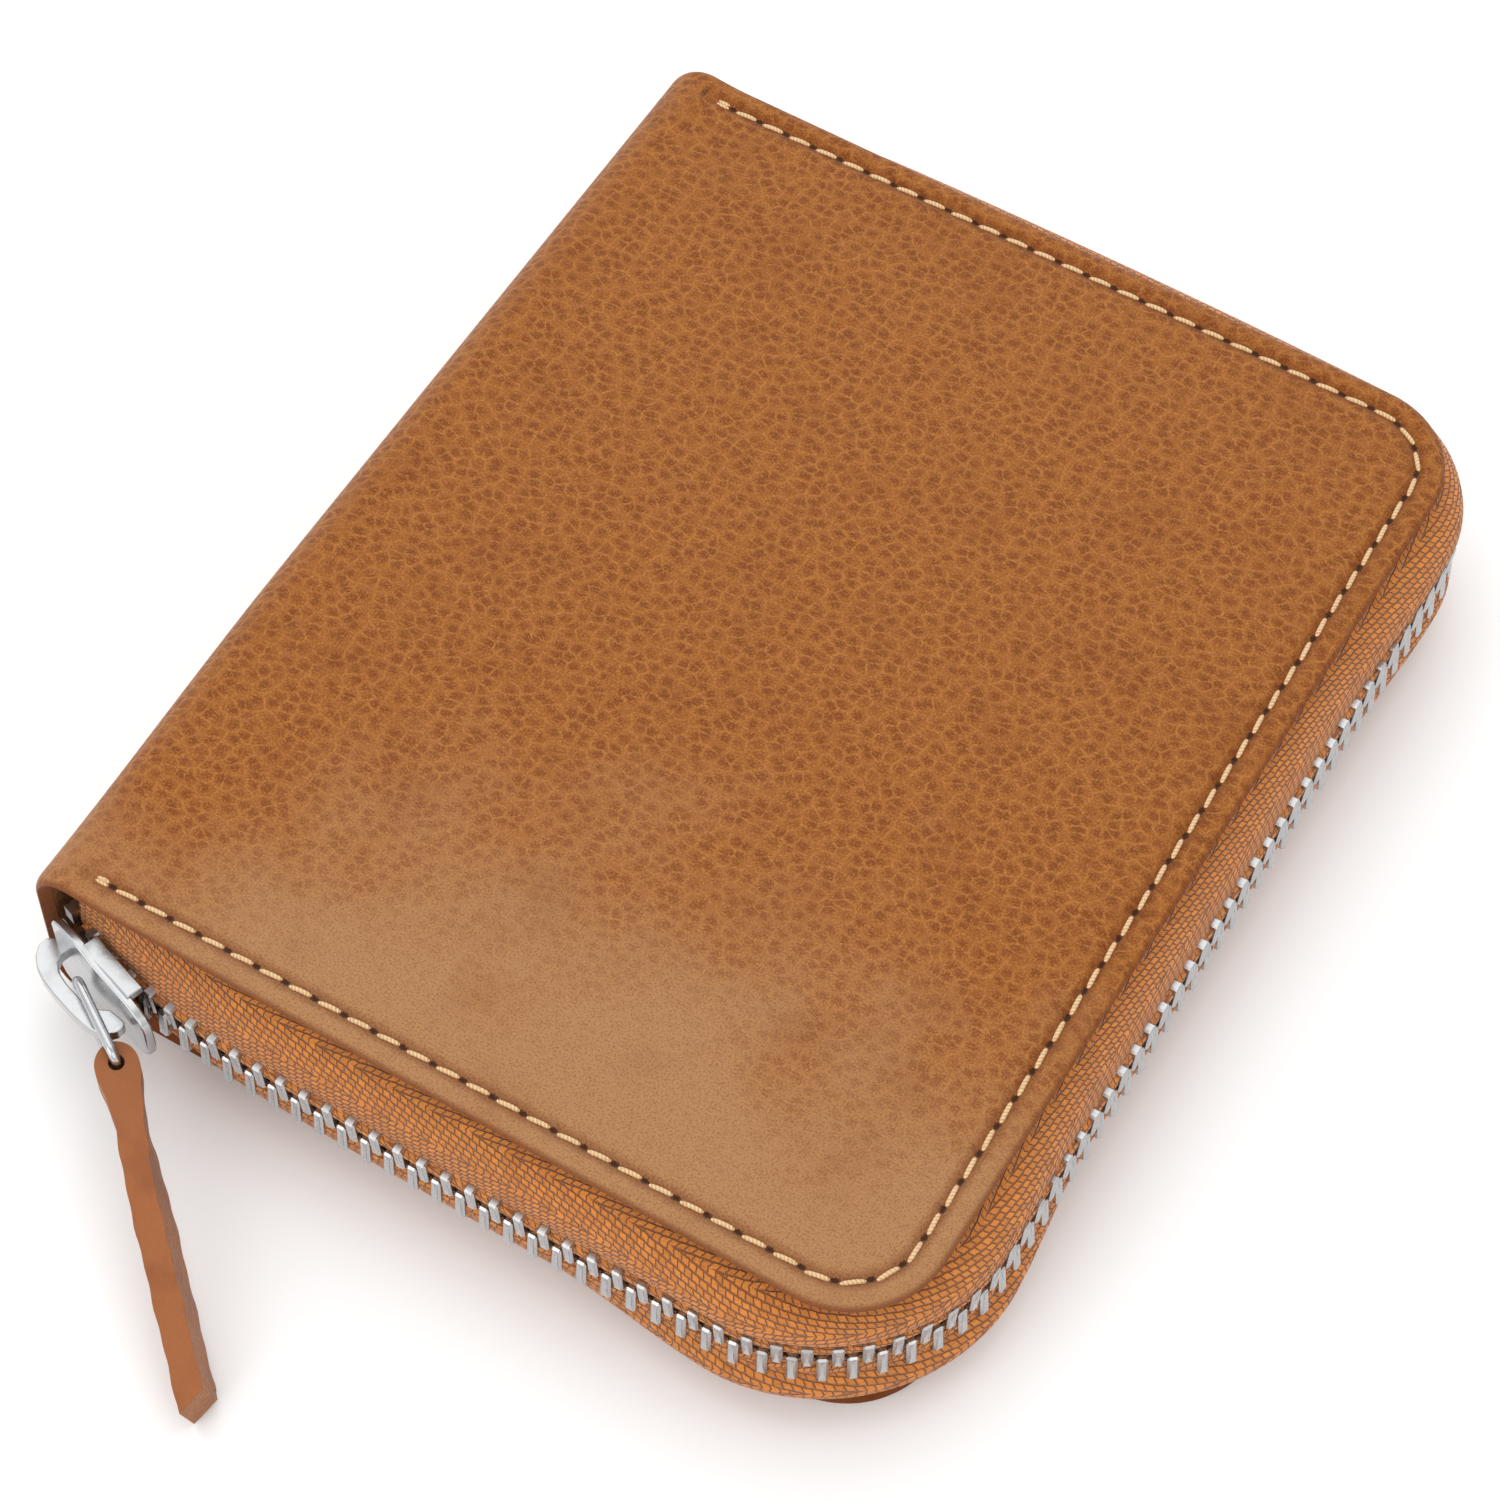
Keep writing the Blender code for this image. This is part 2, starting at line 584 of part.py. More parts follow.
def pull_tab():
    """A strip doubled round the link's bar, twisting over as it runs to its tip."""
    _, frame = pull_frames()
    hole = LINK_WIRE + LINK_CLEAR
    head = hole + TAB_LEATHER
    half = arc(0, 0, head, 165, 72, 5)
    half += [(1.6, head * 0.86), (2.9, TAB_LEATHER * 1.18), (4.4, TAB_LEATHER)]
    half += [(TAB_LENGTH * t, TAB_LEATHER) for t in (0.27, 0.42, 0.6, 0.8, 1.0)]
    bm = bmesh.new()
    sections = []
    for x, y in half:
        turn = Matrix.Rotation(math.radians(TAB_LEAN) * smooth((x - 3.0) / 11.0), 3, "X")
        width = TAB_LOOP_WIDTH + (TAB_WIDTH - TAB_LOOP_WIDTH) * smooth((x - 1.5) / 9.0)
        section = []
        for a, b in ((1, -1), (1, 1), (-1, 1), (-1, -1)):
            slant = TAB_SLANT if a > 0 and x == TAB_LENGTH else 0.0
            corner = turn @ Vector((0, a * y, b * width / 2))
            section.append(bm.verts.new((frame @ (corner + Vector((x - slant, 0, 0)))) * MM))
        sections.append(section)
    for one, two in zip(sections, sections[1:]):
        for i in range(4):
            bm.faces.new((one[i], one[i - 1], two[i - 1], two[i]))
    bm.faces.new(sections[0])
    bm.faces.new(sections[-1][::-1])
    bmesh.ops.recalc_face_normals(bm, faces=bm.faces)
    tab = from_bmesh("pull_tab", bm)
    bore = arc(0, 0, hole, 50, 310, 10) + [(hole + 1.0, -0.15), (hole + 1.0, 0.15)]
    combine(tab, [plate("bore", [bore], -TAB_WIDTH, TAB_WIDTH, frame)], "DIFFERENCE")
    finish(tab, TAN, frame.translation)


# ---- build ------------------------------------------------------------------
for leftover in list(bpy.data.objects):
    bpy.data.objects.remove(leftover, do_unlink=True)
PARTS = bpy.data.collections.new("zip_around_wallet")
CUTTERS = bpy.data.collections.new("cutters")
for folder in (PARTS, CUTTERS):
    bpy.context.scene.collection.children.link(folder)

for is_upper in (False, True):
    cover(is_upper)
    spine_roll(is_upper)
    inner_layers(is_upper)
    zip_tape(is_upper)
    tooth_row(is_upper)
spine()
zip_stops()
slider()
pull_link()
pull_tab()
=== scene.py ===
"""Zip around wallet: the leather, stitching, woven zip tape, metal teeth, slider,
link and pull tab, modelled over the wallet's fixed frame of moving parts."""

import json
import math

import bmesh
import bpy
from bpy.props import FloatProperty, FloatVectorProperty, IntProperty, PointerProperty
from mathutils import Matrix, Vector


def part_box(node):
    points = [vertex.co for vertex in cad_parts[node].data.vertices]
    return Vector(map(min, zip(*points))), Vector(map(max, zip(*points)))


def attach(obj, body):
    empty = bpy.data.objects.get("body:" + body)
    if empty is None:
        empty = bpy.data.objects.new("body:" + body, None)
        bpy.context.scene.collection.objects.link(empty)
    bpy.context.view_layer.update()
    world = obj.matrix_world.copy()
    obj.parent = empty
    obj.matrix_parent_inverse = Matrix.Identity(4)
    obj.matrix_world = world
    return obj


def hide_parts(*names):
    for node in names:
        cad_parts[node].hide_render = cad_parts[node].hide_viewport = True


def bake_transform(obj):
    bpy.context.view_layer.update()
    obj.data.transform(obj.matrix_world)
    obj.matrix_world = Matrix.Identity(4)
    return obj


bl_info = {
    "name": "Zip Around Wallet",
    "version": (1, 0, 0),
    "blender": (4, 5, 0),
    "location": "View3D > Sidebar > Wallet",
    "description": "Makes the finished surfaces of a zip around wallet",
    "category": "Object",
}

MM = 0.001

# ---- what the frame gives ----------------------------------------------------
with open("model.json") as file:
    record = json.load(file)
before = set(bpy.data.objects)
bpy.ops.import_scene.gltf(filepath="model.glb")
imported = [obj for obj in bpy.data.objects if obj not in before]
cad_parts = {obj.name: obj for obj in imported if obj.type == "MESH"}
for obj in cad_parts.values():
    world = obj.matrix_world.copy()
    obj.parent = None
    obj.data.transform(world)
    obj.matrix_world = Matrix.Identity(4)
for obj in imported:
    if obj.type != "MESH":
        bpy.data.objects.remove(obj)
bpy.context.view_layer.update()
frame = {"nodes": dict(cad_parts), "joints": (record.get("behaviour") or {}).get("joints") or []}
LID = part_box("top_cover")
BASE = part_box("bottom_cover")
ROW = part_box("lower_tooth_row")
JOINTS = {joint["name"]: joint for joint in frame["joints"]}

EDGE_X = LID[1].x
END_Y = LID[1].y
HEIGHT = LID[1].z
MIDDLE = HEIGHT / 2
HIDE = BASE[1].z
FOLD_X = LID[0].x
SPINE_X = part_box("spine_panel")[0].x
FOLD = FOLD_X - SPINE_X
TOOTH_OUT = 1.2 * MM
SLIDER_SKEW = math.radians(4.5)
TAB_ANGLE = math.radians(-42.6)
SIDE_X = ROW[1].x - TOOTH_OUT
FRONT_Y = ROW[0].y + TOOTH_OUT
NEAR_BAR = Vector(JOINTS["link_swing"]["pos_m"])
FAR_BAR = Vector(JOINTS["tab_swing"]["pos_m"])
BAR = -Vector(JOINTS["tab_swing"]["axis"])


def length(name, default, description):
    """A length in millimetres that the panel shows."""
    return FloatProperty(name=name, default=default, description=description, min=0.0,
                         precision=2)


def colour(name, default, description):
    return FloatVectorProperty(name=name, default=[linear(c) for c in default],
                               description=description, subtype="COLOR", size=3,
                               min=0.0, max=1.0)


def linear(level):
    """A screen colour level from 0 to 255 as linear light."""
    level /= 255
    return level / 12.92 if level <= 0.04045 else ((level + 0.055) / 1.055) ** 2.4


# ---- settings ----------------------------------------------------------------
class WalletSizes(bpy.types.PropertyGroup):
    corner: length("Cover corner", 9.5, "Radius of the covers' zip-side corners")
    stitch_inset: length("Stitch inset", 2.7, "Stitch line from the leather's edge")
    stitch_pitch: length("Stitch pitch", 3.15, "From one needle hole to the next")
    stitch_long: length("Stitch length", 2.4, "Thread showing between two holes")
    thread: length("Thread", 0.48, "Thickness of the sewing thread")
    groove: length("Groove", 0.5, "How deep the stitches pull the leather in")
    crown: length("Crown", 0.35, "How far the padded middle stands above the edge")
    rim: length("Rim", 1.3, "Width over which the leather rolls over at its edge")
    belly: length("Belly", 1.1, "How far the spine swells out")
    bow: length("Bow", 900.0, "Radius that the zip's front and back runs bow on")
    bow_x: length("Bow middle", 5.0, "Where they bow most, from the covers' middle")
    bend: length("Bend", 76.0, "Radius that they bend in on towards the spine")
    bend_from: length("Bend start", 25.0, "Where that bend starts, from the spine")
    zip_corner: length("Front corner", 18.0, "Radius of the zip's path round the front")
    back_corner: length("Back corner", 13.5, "Radius of the zip's path round the back")
    zip_inset: length("Zip inset", 3.7, "Zip's cut ends from the outside of the spine")
    tape: length("Tape", 0.5, "Thickness of the woven tape")
    tape_flat: length("Tape swell", 0.3, "How far the tape swells along the sides")
    tape_bulge: length("Corner swell", 1.4, "How far it swells at the corners and back")
    tape_under: length("Lower swell", 2.2, "How far the lower tape swells at the front")
    tooth_pitch: length("Tooth pitch", 2.54, "From one tooth to the next in a row")
    tooth_long: length("Tooth length", 1.2, "Length of a tooth along the chain")
    tooth_mesh: length("Tooth mesh", 0.65, "How far a tooth passes the chain's middle")
    tooth_back: length("Tooth back", 3.05, "Chain's middle to the back of a tooth")
    spread: length("Spread", 1.9, "How far the slider parts each row")
    slider_inset: length("Slider inset", 9.9, "Slider from the outside of the spine")
    wire: length("Link wire", 1.0, "Thickness of the link's wire")
    link_wide: length("Link width", 5.0, "Link's side wires, middle to middle")
    link_bend: length("Link bend", 1.3, "Radius of the link's corners")
    tab_long: length("Tab length", 33.0, "Pull tab from the link's bar to its tip")
    tab_wide: length("Tab width", 5.0, "Width of the pull tab's strip")
    leather_edges: IntProperty(name="Edge steps", default=2, min=1, max=4,
                               description="Segments on the rounded leather edges")


class WalletColours(bpy.types.PropertyGroup):
    tan: colour("Tan", (147, 87, 33), "Grained leather towards the spine")
    buff: colour("Buff", (165, 122, 84), "Smoother leather towards the front")
    # The pore colour also paints the shade along the stitch groove.
    pore_and_shade: colour("Pores", (108, 48, 4), "Middles of the grain's pebbles")
    # The crease colour also paints the shade between the sewing thread's plies.
    crease: colour("Creases", (194, 130, 62), "Fine lines of the grain")
    edge: colour("Edge", (148, 84, 36), "Cut and burnished leather edges")
    hole: colour("Needle holes", (48, 24, 12), "Shadow in the needle holes")
    thread: colour("Thread", (235, 205, 158), "Sewing thread")
    tape: colour("Tape", (216, 131, 52), "Woven zip tape")
    # The tape gap colour is the painted shade in the weave's gaps and also the yarns' uneven
    # tone.
    tape_gap: colour("Tape gaps", (116, 56, 18), "Gaps in the tape's weave")
    pocket: colour("Pockets", (176, 118, 72), "Card leaves and note panels")
    lining: colour("Lining", (120, 84, 56), "Cloth lining")
    nickel: colour("Nickel", (190, 191, 192), "Teeth, slider and link")


def sizes():
    """The size settings, in metres."""
    store = bpy.context.scene.wallet_sizes

    class Metres:
        def __getattr__(self, name):
            return getattr(store, name) * MM

    return Metres()


def colours():
    return bpy.context.scene.wallet_colours


# ---- paths ---------------------------------------------------------------------
def smooth(t):
    t = min(max(t, 0.0), 1.0)
    return t * t * (3 - 2 * t)


class Path:
    """A line of straight runs and arcs in plan. A run is its centre or start point,
    its radius (0 when straight), the direction it starts in and its length."""

    def __init__(self, runs):
        self.runs = runs
        self.length = sum(run[3] for run in runs)

    def at(self, s):
        """The point at length s and the way the path runs there."""
        for point, radius, first, long in self.runs:
            if s <= long or (point, radius, first, long) == self.runs[-1]:
                break
            s -= long
        a = first + (s / radius if radius else 0.0)
        way = Vector((math.cos(a), math.sin(a)))
        if radius:
            return point + Vector((way.y, -way.x)) * radius, way
        return point + way * s, way

    def beside(self, s, out, z):
        """A point beside the path at height z."""
        point, way = self.at(s)
        return Vector((point.x + way.y * out, point.y - way.x * out, z))


def cover_path(inset):
    """The covers' outline, that far in from the edge, from one spine end to the other."""
    corner = sizes().corner
    cx, cy, r = EDGE_X - corner, END_Y - corner, corner - inset
    turn = math.pi / 2
    return Path([
        (Vector((FOLD_X, -END_Y + inset)), 0.0, 0.0, cx - FOLD_X),
        (Vector((cx, -cy)), r, 0.0, turn * r),
        (Vector((EDGE_X - inset, -cy)), 0.0, turn, 2 * cy),
        (Vector((cx, cy)), r, turn, turn * r),
        (Vector((cx, END_Y - inset)), 0.0, math.pi, cx - FOLD_X),
    ])


def zip_corner(bow, radius):
    """Centre of a corner of the zip's path, and the angle it leaves the bow at."""
    x = SIDE_X - radius
    y = bow.y - math.sqrt((sizes().bow - radius) ** 2 - (x - bow.x) ** 2)
    return Vector((x, y)), math.atan2(x - bow.x, bow.y - y)


def zip_path():
    """The zip's path: a bend, a bow, a corner, the side, a corner, a bow and a bend."""
    z, flip, half = sizes(), Vector((1, -1)), math.pi / 2
    bow = Vector((z.bow_x, FRONT_Y + z.bow))
    turn = math.asin((SPINE_X + z.bend_from - bow.x) / z.bow)
    bend = bow + Vector((math.sin(turn), -math.cos(turn))) * (z.bow - z.bend)
    start = math.asin((SPINE_X + z.zip_inset - bend.x) / z.bend)
    front, front_end = zip_corner(bow, z.zip_corner)
    back, back_end = zip_corner(bow, z.back_corner)
    bent = (turn - start) * z.bend
    return Path([
        (bend, z.bend, start, bent),
        (bow, z.bow, turn, (front_end - turn) * z.bow),
        (front, z.zip_corner, front_end, (half - front_end) * z.zip_corner),
        (Vector((SIDE_X, front.y)), 0.0, half, -front.y - back.y),
        (back * flip, z.back_corner, half, (half - back_end) * z.back_corner),
        (bow * flip, z.bow, math.pi - back_end, (back_end - turn) * z.bow),
        (bend * flip, z.bend, math.pi - turn, bent),
    ])


def slider_at():
    """The angle the chain runs at under the slider, and its length along the path."""
    bend, radius, start, _ = zip_path().runs[0]
    turn = math.asin((SPINE_X + sizes().slider_inset - bend.x) / radius)
    return turn, radius * (turn - start)


def swell(s, sign):
    """How far the tape stands out past the teeth at length s."""
    z, longs = sizes(), [run[3] for run in zip_path().runs]
    front, back = sum(longs[:2]) + longs[2] / 2, sum(longs[:4]) + longs[4] / 2
    away = abs(s - front) if s < back else max(0.0, s - sum(longs) + 24 * MM)
    away = min(away, abs(s - back))
    under = sign < 0 and s < (front + back) / 2
    most = z.tape_under if under else z.tape_bulge
    full = z.tape_flat + (most - z.tape_flat) * smooth(1.6 - away / (20 * MM))
    return full * smooth((abs(s - slider_at()[1]) - 6.5 * MM) / (9 * MM))


def parted(s):
    """How far the slider's post holds a row from the chain's middle at length s."""
    return sizes().spread * smooth((slider_at()[1] - 1.0 * MM - s) / (4.5 * MM))


# ---- modelling -----------------------------------------------------------------
FACE_OUT = (bpy.ops.mesh.normals_make_consistent, {"inside": False})
MERGE = (bpy.ops.mesh.remove_doubles, {"threshold": 1e-6})


def clear_selection():
    bpy.ops.object.select_all(action="DESELECT")


def named(name):
    """The primitive just added, named."""
    thing = bpy.context.object
    thing.name = thing.data.name = name
    return thing


def choose(things):
    clear_selection()
    for thing in things:
        thing.select_set(True)
    bpy.context.view_layer.objects.active = things[0]


def joined(name, things):
    """Several meshes joined into one piece."""
    choose(things)
    if len(things) > 1:
        bpy.ops.object.join()
    return named(name)


def apply_all(thing):
    choose([thing])
    for modifier in list(thing.modifiers):
        bpy.ops.object.modifier_apply(modifier=modifier.name)


def settle(thing, place=None):
    """Put an object's place into its mesh."""
    bpy.context.view_layer.update()
    thing.data.transform((place or Matrix.Identity(4)) @ thing.matrix_world)
    thing.matrix_world = Matrix.Identity(4)
    return thing


def edit(*steps):
    """Run mesh operators on everything in the active mesh."""
    bpy.ops.object.mode_set(mode="EDIT")
    for step, settings in steps:
        bpy.ops.mesh.select_all(action="SELECT")
        step(**settings)
    bpy.ops.object.mode_set(mode="OBJECT")


def shade(degrees):
    """Shade the active mesh smooth, but for edges that turn more than that."""
    bpy.ops.object.shade_smooth_by_angle(angle=math.radians(degrees))


def soft_edges(thing, width, steps=2, angle=35, flat=True):
    """Round the sharp edges, shade what is round smooth, and keep the result."""
    edge = thing.modifiers.new("edge", "BEVEL")
    edge.width = width
    edge.segments = steps
    edge.limit_method = "ANGLE"
    edge.angle_limit = math.radians(angle)
    edge.harden_normals = flat
    choose([thing])
    shade(angle)
    apply_all(thing)
    if not flat:
        shade(50)
    return thing


def pick(kind, test):
    """In edit mode, select the vertices, edges or faces that a test passes."""
    mesh = bmesh.from_edit_mesh(bpy.context.object.data)
    bpy.context.tool_settings.mesh_select_mode = tuple(
        kind == mode for mode in ("verts", "edges", "faces"))
    for group in (mesh.verts, mesh.edges, mesh.faces):
        for item in group:
            item.select = False
    for item in getattr(mesh, kind):
        item.select_set(bool(test(item)))
    bmesh.update_edit_mesh(bpy.context.object.data)


def box(name, low, high):
    """A cube between two corners, at its size and place."""
    low, high = Vector(low), Vector(high)
    clear_selection()
    bpy.ops.mesh.primitive_cube_add(size=1, location=(low + high) / 2)
    thing = named(name)
    thing.scale = high - low
    bpy.ops.object.transform_apply(location=True, rotation=True, scale=True)
    return thing


def slab(name, outline, low, high, place, width, steps=2):
    """A flat outline extruded between two heights and rounded on its edges."""
    clear_selection()
    bpy.ops.mesh.primitive_circle_add(vertices=len(outline), fill_type="NGON")
    thing = named(name)
    for vert, (x, y) in zip(thing.data.vertices, outline):
        vert.co = (x * MM, y * MM, low * MM)
    raised = {"TRANSFORM_OT_translate": {"value": (0, 0, (high - low) * MM)}}
    edit((bpy.ops.mesh.extrude_region_move, raised), FACE_OUT)
    soft_edges(thing, width * MM, steps)
    return settle(thing, place)


def sheet(name, across, along, place):
    """A grid primitive laid out by place(i, j)."""
    clear_selection()
    bpy.ops.mesh.primitive_grid_add(x_subdivisions=across - 1, y_subdivisions=along - 1,
                                    size=1)
    thing = named(name)
    where = []
    for vert in thing.data.vertices:
        i = round((vert.co.x + 0.5) * (across - 1))
        j = round((vert.co.y + 0.5) * (along - 1))
        where.append((i, j))
        vert.co = place(i, j)
    return thing, where


def store(thing, name, values):
    """Keep a vector at each vertex for the material to follow."""
    layer = thing.data.attributes.new(name, "FLOAT_VECTOR", "POINT")
    layer.data.foreach_set("vector", [c for value in values for c in value])


def thicken(thing, wall, offset, rim=0):
    solid = thing.modifiers.new("wall", "SOLIDIFY")
    solid.thickness = wall
    solid.offset = offset
    solid.use_even_offset = True
    solid.material_offset_rim = rim
    apply_all(thing)
    shade(50)


def wire(name, points, radius, cyclic=False):
    """A round wire through points, as a mesh."""
    data = bpy.data.curves.new(name, "CURVE")
    data.dimensions = "3D"
    data.bevel_depth = radius
    data.bevel_resolution = 3
    data.use_fill_caps = not cyclic
    spline = data.splines.new("POLY")
    spline.points.add(len(points) - 1)
    for point, place in zip(spline.points, points):
        point.co = (*place, 1)
    spline.use_cyclic_u = cyclic
    thing = bpy.data.objects.new(name, data)
    bpy.context.scene.collection.objects.link(thing)
    choose([thing])
    bpy.ops.object.convert(target="MESH")
    edit(MERGE)
    shade(50)
    return named(name)


def arc(x, y, radius, first, last, steps):
    turns = [math.radians(first + (last - first) * i / steps) for i in range(steps + 1)]
    return [(x + radius * math.cos(a), y + radius * math.sin(a)) for a in turns]


def paint(thing, *materials):
    for material in materials:
        thing.data.materials.append(material)


def steps_between(marks):
    """Places from mark to mark, with the step named for each stretch."""
    out = [marks[0][0]]
    for (start, step), (end, _) in zip(marks, marks[1:]):
        n = max(1, round((end - start) / step))
        out += [start + (end - start) * i / n for i in range(1, n + 1)]
    return out


# ---- shader nodes --------------------------------------------------------------
class Wire:
    """A shader socket whose arithmetic adds the Math nodes for it."""

    def __init__(self, finish, socket):
        self.finish = finish
        self.socket = socket

    def maths(self, operation, *others):
        values = dict(enumerate((self, *others)))
        return self.finish.node("ShaderNodeMath", {"operation": operation}, values)

    def __add__(self, other):
        return self.maths("ADD", other)

    __radd__ = __add__

    def __mul__(self, other):
        return self.maths("MULTIPLY", other)

    __rmul__ = __mul__

    def __sub__(self, other):
        return self.maths("SUBTRACT", other)

    def __rsub__(self, other):
        return (self * -1.0) + other

    def __truediv__(self, other):
        return self.maths("DIVIDE", other)

    def ramp(self, low, high, start=0.0, end=1.0):
        """Smoothly from start to end as this goes from low to high."""
        settings = {"interpolation_type": "SMOOTHSTEP"}
        values = {"Value": self, "From Min": low, "From Max": high,
                  "To Min": start, "To Max": end}
        return self.finish.node("ShaderNodeMapRange", settings, values)


class Finish:
    """A material and the nodes that feed its shader."""

    def __init__(self, name, **constants):
        self.material = bpy.data.materials.new(name)
        self.material.use_nodes = True
        self.tree = self.material.node_tree
        self.shader = self.tree.nodes["Principled BSDF"]
        self.set(**constants)

    def node(self, kind, settings, values, output=0):
        """Add a node of that kind, set it up, feed its sockets and give an output."""
        node = self.tree.nodes.new(kind)
        for name, value in settings.items():
            setattr(node, name, value)
        for name, value in values.items():
            if isinstance(name, int):
                socket = node.inputs[name]
            else:
                socket = next(s for s in node.inputs if s.enabled and s.name == name)
            self.feed(socket, value)
        if isinstance(output, str):
            return Wire(self, next(s for s in node.outputs
                                   if s.enabled and s.name == output))
        return Wire(self, next(s for s in list(node.outputs)[output:] if s.enabled))

    def feed(self, socket, value):
        if isinstance(value, Wire):
            self.tree.links.new(value.socket, socket)
        elif socket.type == "RGBA":
            socket.default_value = (*value, 1.0)[:4]
        else:
            socket.default_value = value

    def set(self, **values):
        """Feed the main shader's sockets, named in lower case with underscores."""
        for socket in self.shader.inputs:
            name = socket.name.lower().replace(" ", "_")
            if name in values:
                self.feed(socket, values[name])

    def place(self):
        return self.node("ShaderNodeTexCoord", {}, {}, "Object")

    def stored(self, name):
        return self.node("ShaderNodeAttribute", {"attribute_name": name}, {}, "Vector")

    def parts(self, vector):
        split = self.tree.nodes.new("ShaderNodeSeparateXYZ")
        self.feed(split.inputs[0], vector)
        return [Wire(self, output) for output in split.outputs]

    def vector(self, x, y, z=0.0):
        return self.node("ShaderNodeCombineXYZ", {}, {"X": x, "Y": y, "Z": z})

    def vector_maths(self, operation, a, b):
        return self.node("ShaderNodeVectorMath", {"operation": operation}, {0: a, 1: b})

    def noise(self, vector, size, detail=2.0, output="Fac"):
        """Noise whose blotches are about size metres across."""
        values = {"Vector": vector, "Scale": 1 / size, "Detail": detail}
        return self.node("ShaderNodeTexNoise", {}, values, output)

    def shaken(self, vector, size, amount):
        """A vector pushed about by noise."""
        push = self.noise(vector, size, 2.0, "Color")
        push = self.vector_maths("SUBTRACT", push, (0.5, 0.5, 0.5))
        push = self.vector_maths("MULTIPLY", push, (amount, amount, amount))
        return self.vector_maths("ADD", vector, push)

    def cells(self, vector, size, feature="F1", flat="3D"):
        values = {"Vector": vector, "Scale": 1 / size, "Randomness": 0.85}
        settings = {"voronoi_dimensions": flat, "feature": feature}
        return self.node("ShaderNodeTexVoronoi", settings, values, "Distance")

    def mix(self, factor, a, b, blend="MIX"):
        values = {"Factor": factor, "A": a, "B": b}
        settings = {"data_type": "RGBA", "blend_type": blend}
        return self.node("ShaderNodeMix", settings, values, "Result")

    def bump(self, height, distance, strength=1.0):
        values = {"Height": height, "Distance": distance, "Strength": strength}
        self.set(normal=self.node("ShaderNodeBump", {}, values))


def grained_leather():
    """Vegetable-tanned hide: pebbled at the spine and back, smoother at the front."""
    c = colours()
    f = Finish("grained_leather", specular_ior_level=0.14, sheen_weight=0.12,
               sheen_tint=(1.0, 0.86, 0.72))
    skin = f.stored("skin")
    seam_t, seam_d, cover = f.parts(f.stored("seam"))
    u, y, _ = f.parts(skin)
    drift = f.noise(skin, 16 * MM) - 0.5
    lean = u.ramp(8 * MM, 42 * MM, 0.026, 0.0)
    grain = (y + lean + drift * 0.04).ramp(-0.05, -0.012, 0.12, 1.0)
    shaken = f.shaken(f.shaken(skin, 3.0 * MM, 1.2 * MM), 0.7 * MM, 0.4 * MM)
    shaken = f.vector_maths("MULTIPLY", shaken, (0.9, 1.15, 1.0))
    speckle = f.noise(skin, 0.2 * MM, 3.0)
    pebble = f.cells(shaken, 1.4 * MM, flat="2D") + (speckle - 0.5) * 0.5
    line = f.cells(shaken, 1.4 * MM, "DISTANCE_TO_EDGE", "2D")
    small = f.cells(f.shaken(skin, 0.5 * MM, 0.3 * MM), 0.6 * MM, flat="2D")
    blotch = f.noise(skin, 9 * MM, 2.0)
    strong = f.noise(skin, 2.4 * MM, 1.0).ramp(0.3, 0.6, 0.45, 1.0)
    middle = pebble.ramp(0.5, 0.16) * strong
    crease = line.ramp(0.14, 0.0) * f.noise(skin, 1.3 * MM).ramp(0.3, 0.6)
    base = f.mix(grain, c.buff, c.tan)
    base = f.mix(middle * grain * 0.7, base, c.pore_and_shade)
    base = f.mix(crease * grain * 0.3, base, c.crease)
    base = f.mix(small.ramp(0.3, 0.1) * 0.1, base, c.pore_and_shade)
    base = f.mix(speckle.ramp(0.5, 0.66) * 0.34, base, c.crease)
    base = f.mix(speckle.ramp(0.5, 0.34) * 0.4, base, c.pore_and_shade)
    base = f.mix(blotch.ramp(0.5, 0.75) * 0.16, base, c.pore_and_shade)
    inset, pitch = sizes().stitch_inset, stitch_pitch()
    long = cover_path(inset).length
    off = seam_d - inset
    near = off.maths("ABSOLUTE") + (speckle - 0.5) * 0.5 * MM
    # Painted shade: the leather darkens along the stitch groove, within about 1.2 mm of the
    # stitch line.
    base = f.mix(near.ramp(1.2 * MM, 0.1 * MM) * cover * 0.6, base, c.pore_and_shade)
    base = f.mix(seam_d.ramp(0.6 * MM, 0.0) * 0.8, base, c.pore_and_shade)
    step = ((seam_t / pitch + 0.5).maths("FRACT") - 0.5) * pitch
    ends = seam_t.ramp(0.4 * MM, 0.8 * MM) * (long - seam_t).ramp(0.4 * MM, 0.8 * MM)
    reach = (step * step * 0.8 + off * off * 2.2).maths("SQRT")
    reach = reach + (speckle - 0.5) * 0.5 * MM
    hole = reach.ramp(0.5 * MM, 0.22 * MM) * cover * ends
    dip = (step * step + off * off).maths("SQRT").ramp(1.4 * MM, 0.2 * MM) * cover
    base = f.mix(hole * 0.9, base, c.hole)
    f.set(base_color=base)
    f.set(roughness=(crease * -0.05 + speckle * 0.12 + 0.5 + hole * 0.3))
    height = line.ramp(0.0, 0.28) * grain * 0.8 - small * 0.25
    height = height + speckle * 0.6 - hole * 2.5 - dip * 2.0
    f.bump(height, 0.1 * MM, 0.9)
    return f.material


def cut_edge():
    """The hide's cut edge, rubbed smooth and stained."""
    f = Finish("cut_edge", specular_ior_level=0.4)
    fibre = f.noise(f.place(), 0.5 * MM, 3.0)
    f.set(base_color=f.mix(fibre.ramp(0.35, 0.7), colours().pore_and_shade, colours().edge))
    f.set(roughness=fibre * 0.2 + 0.42)
    f.bump(fibre, 0.08 * MM, 0.6)
    return f.material


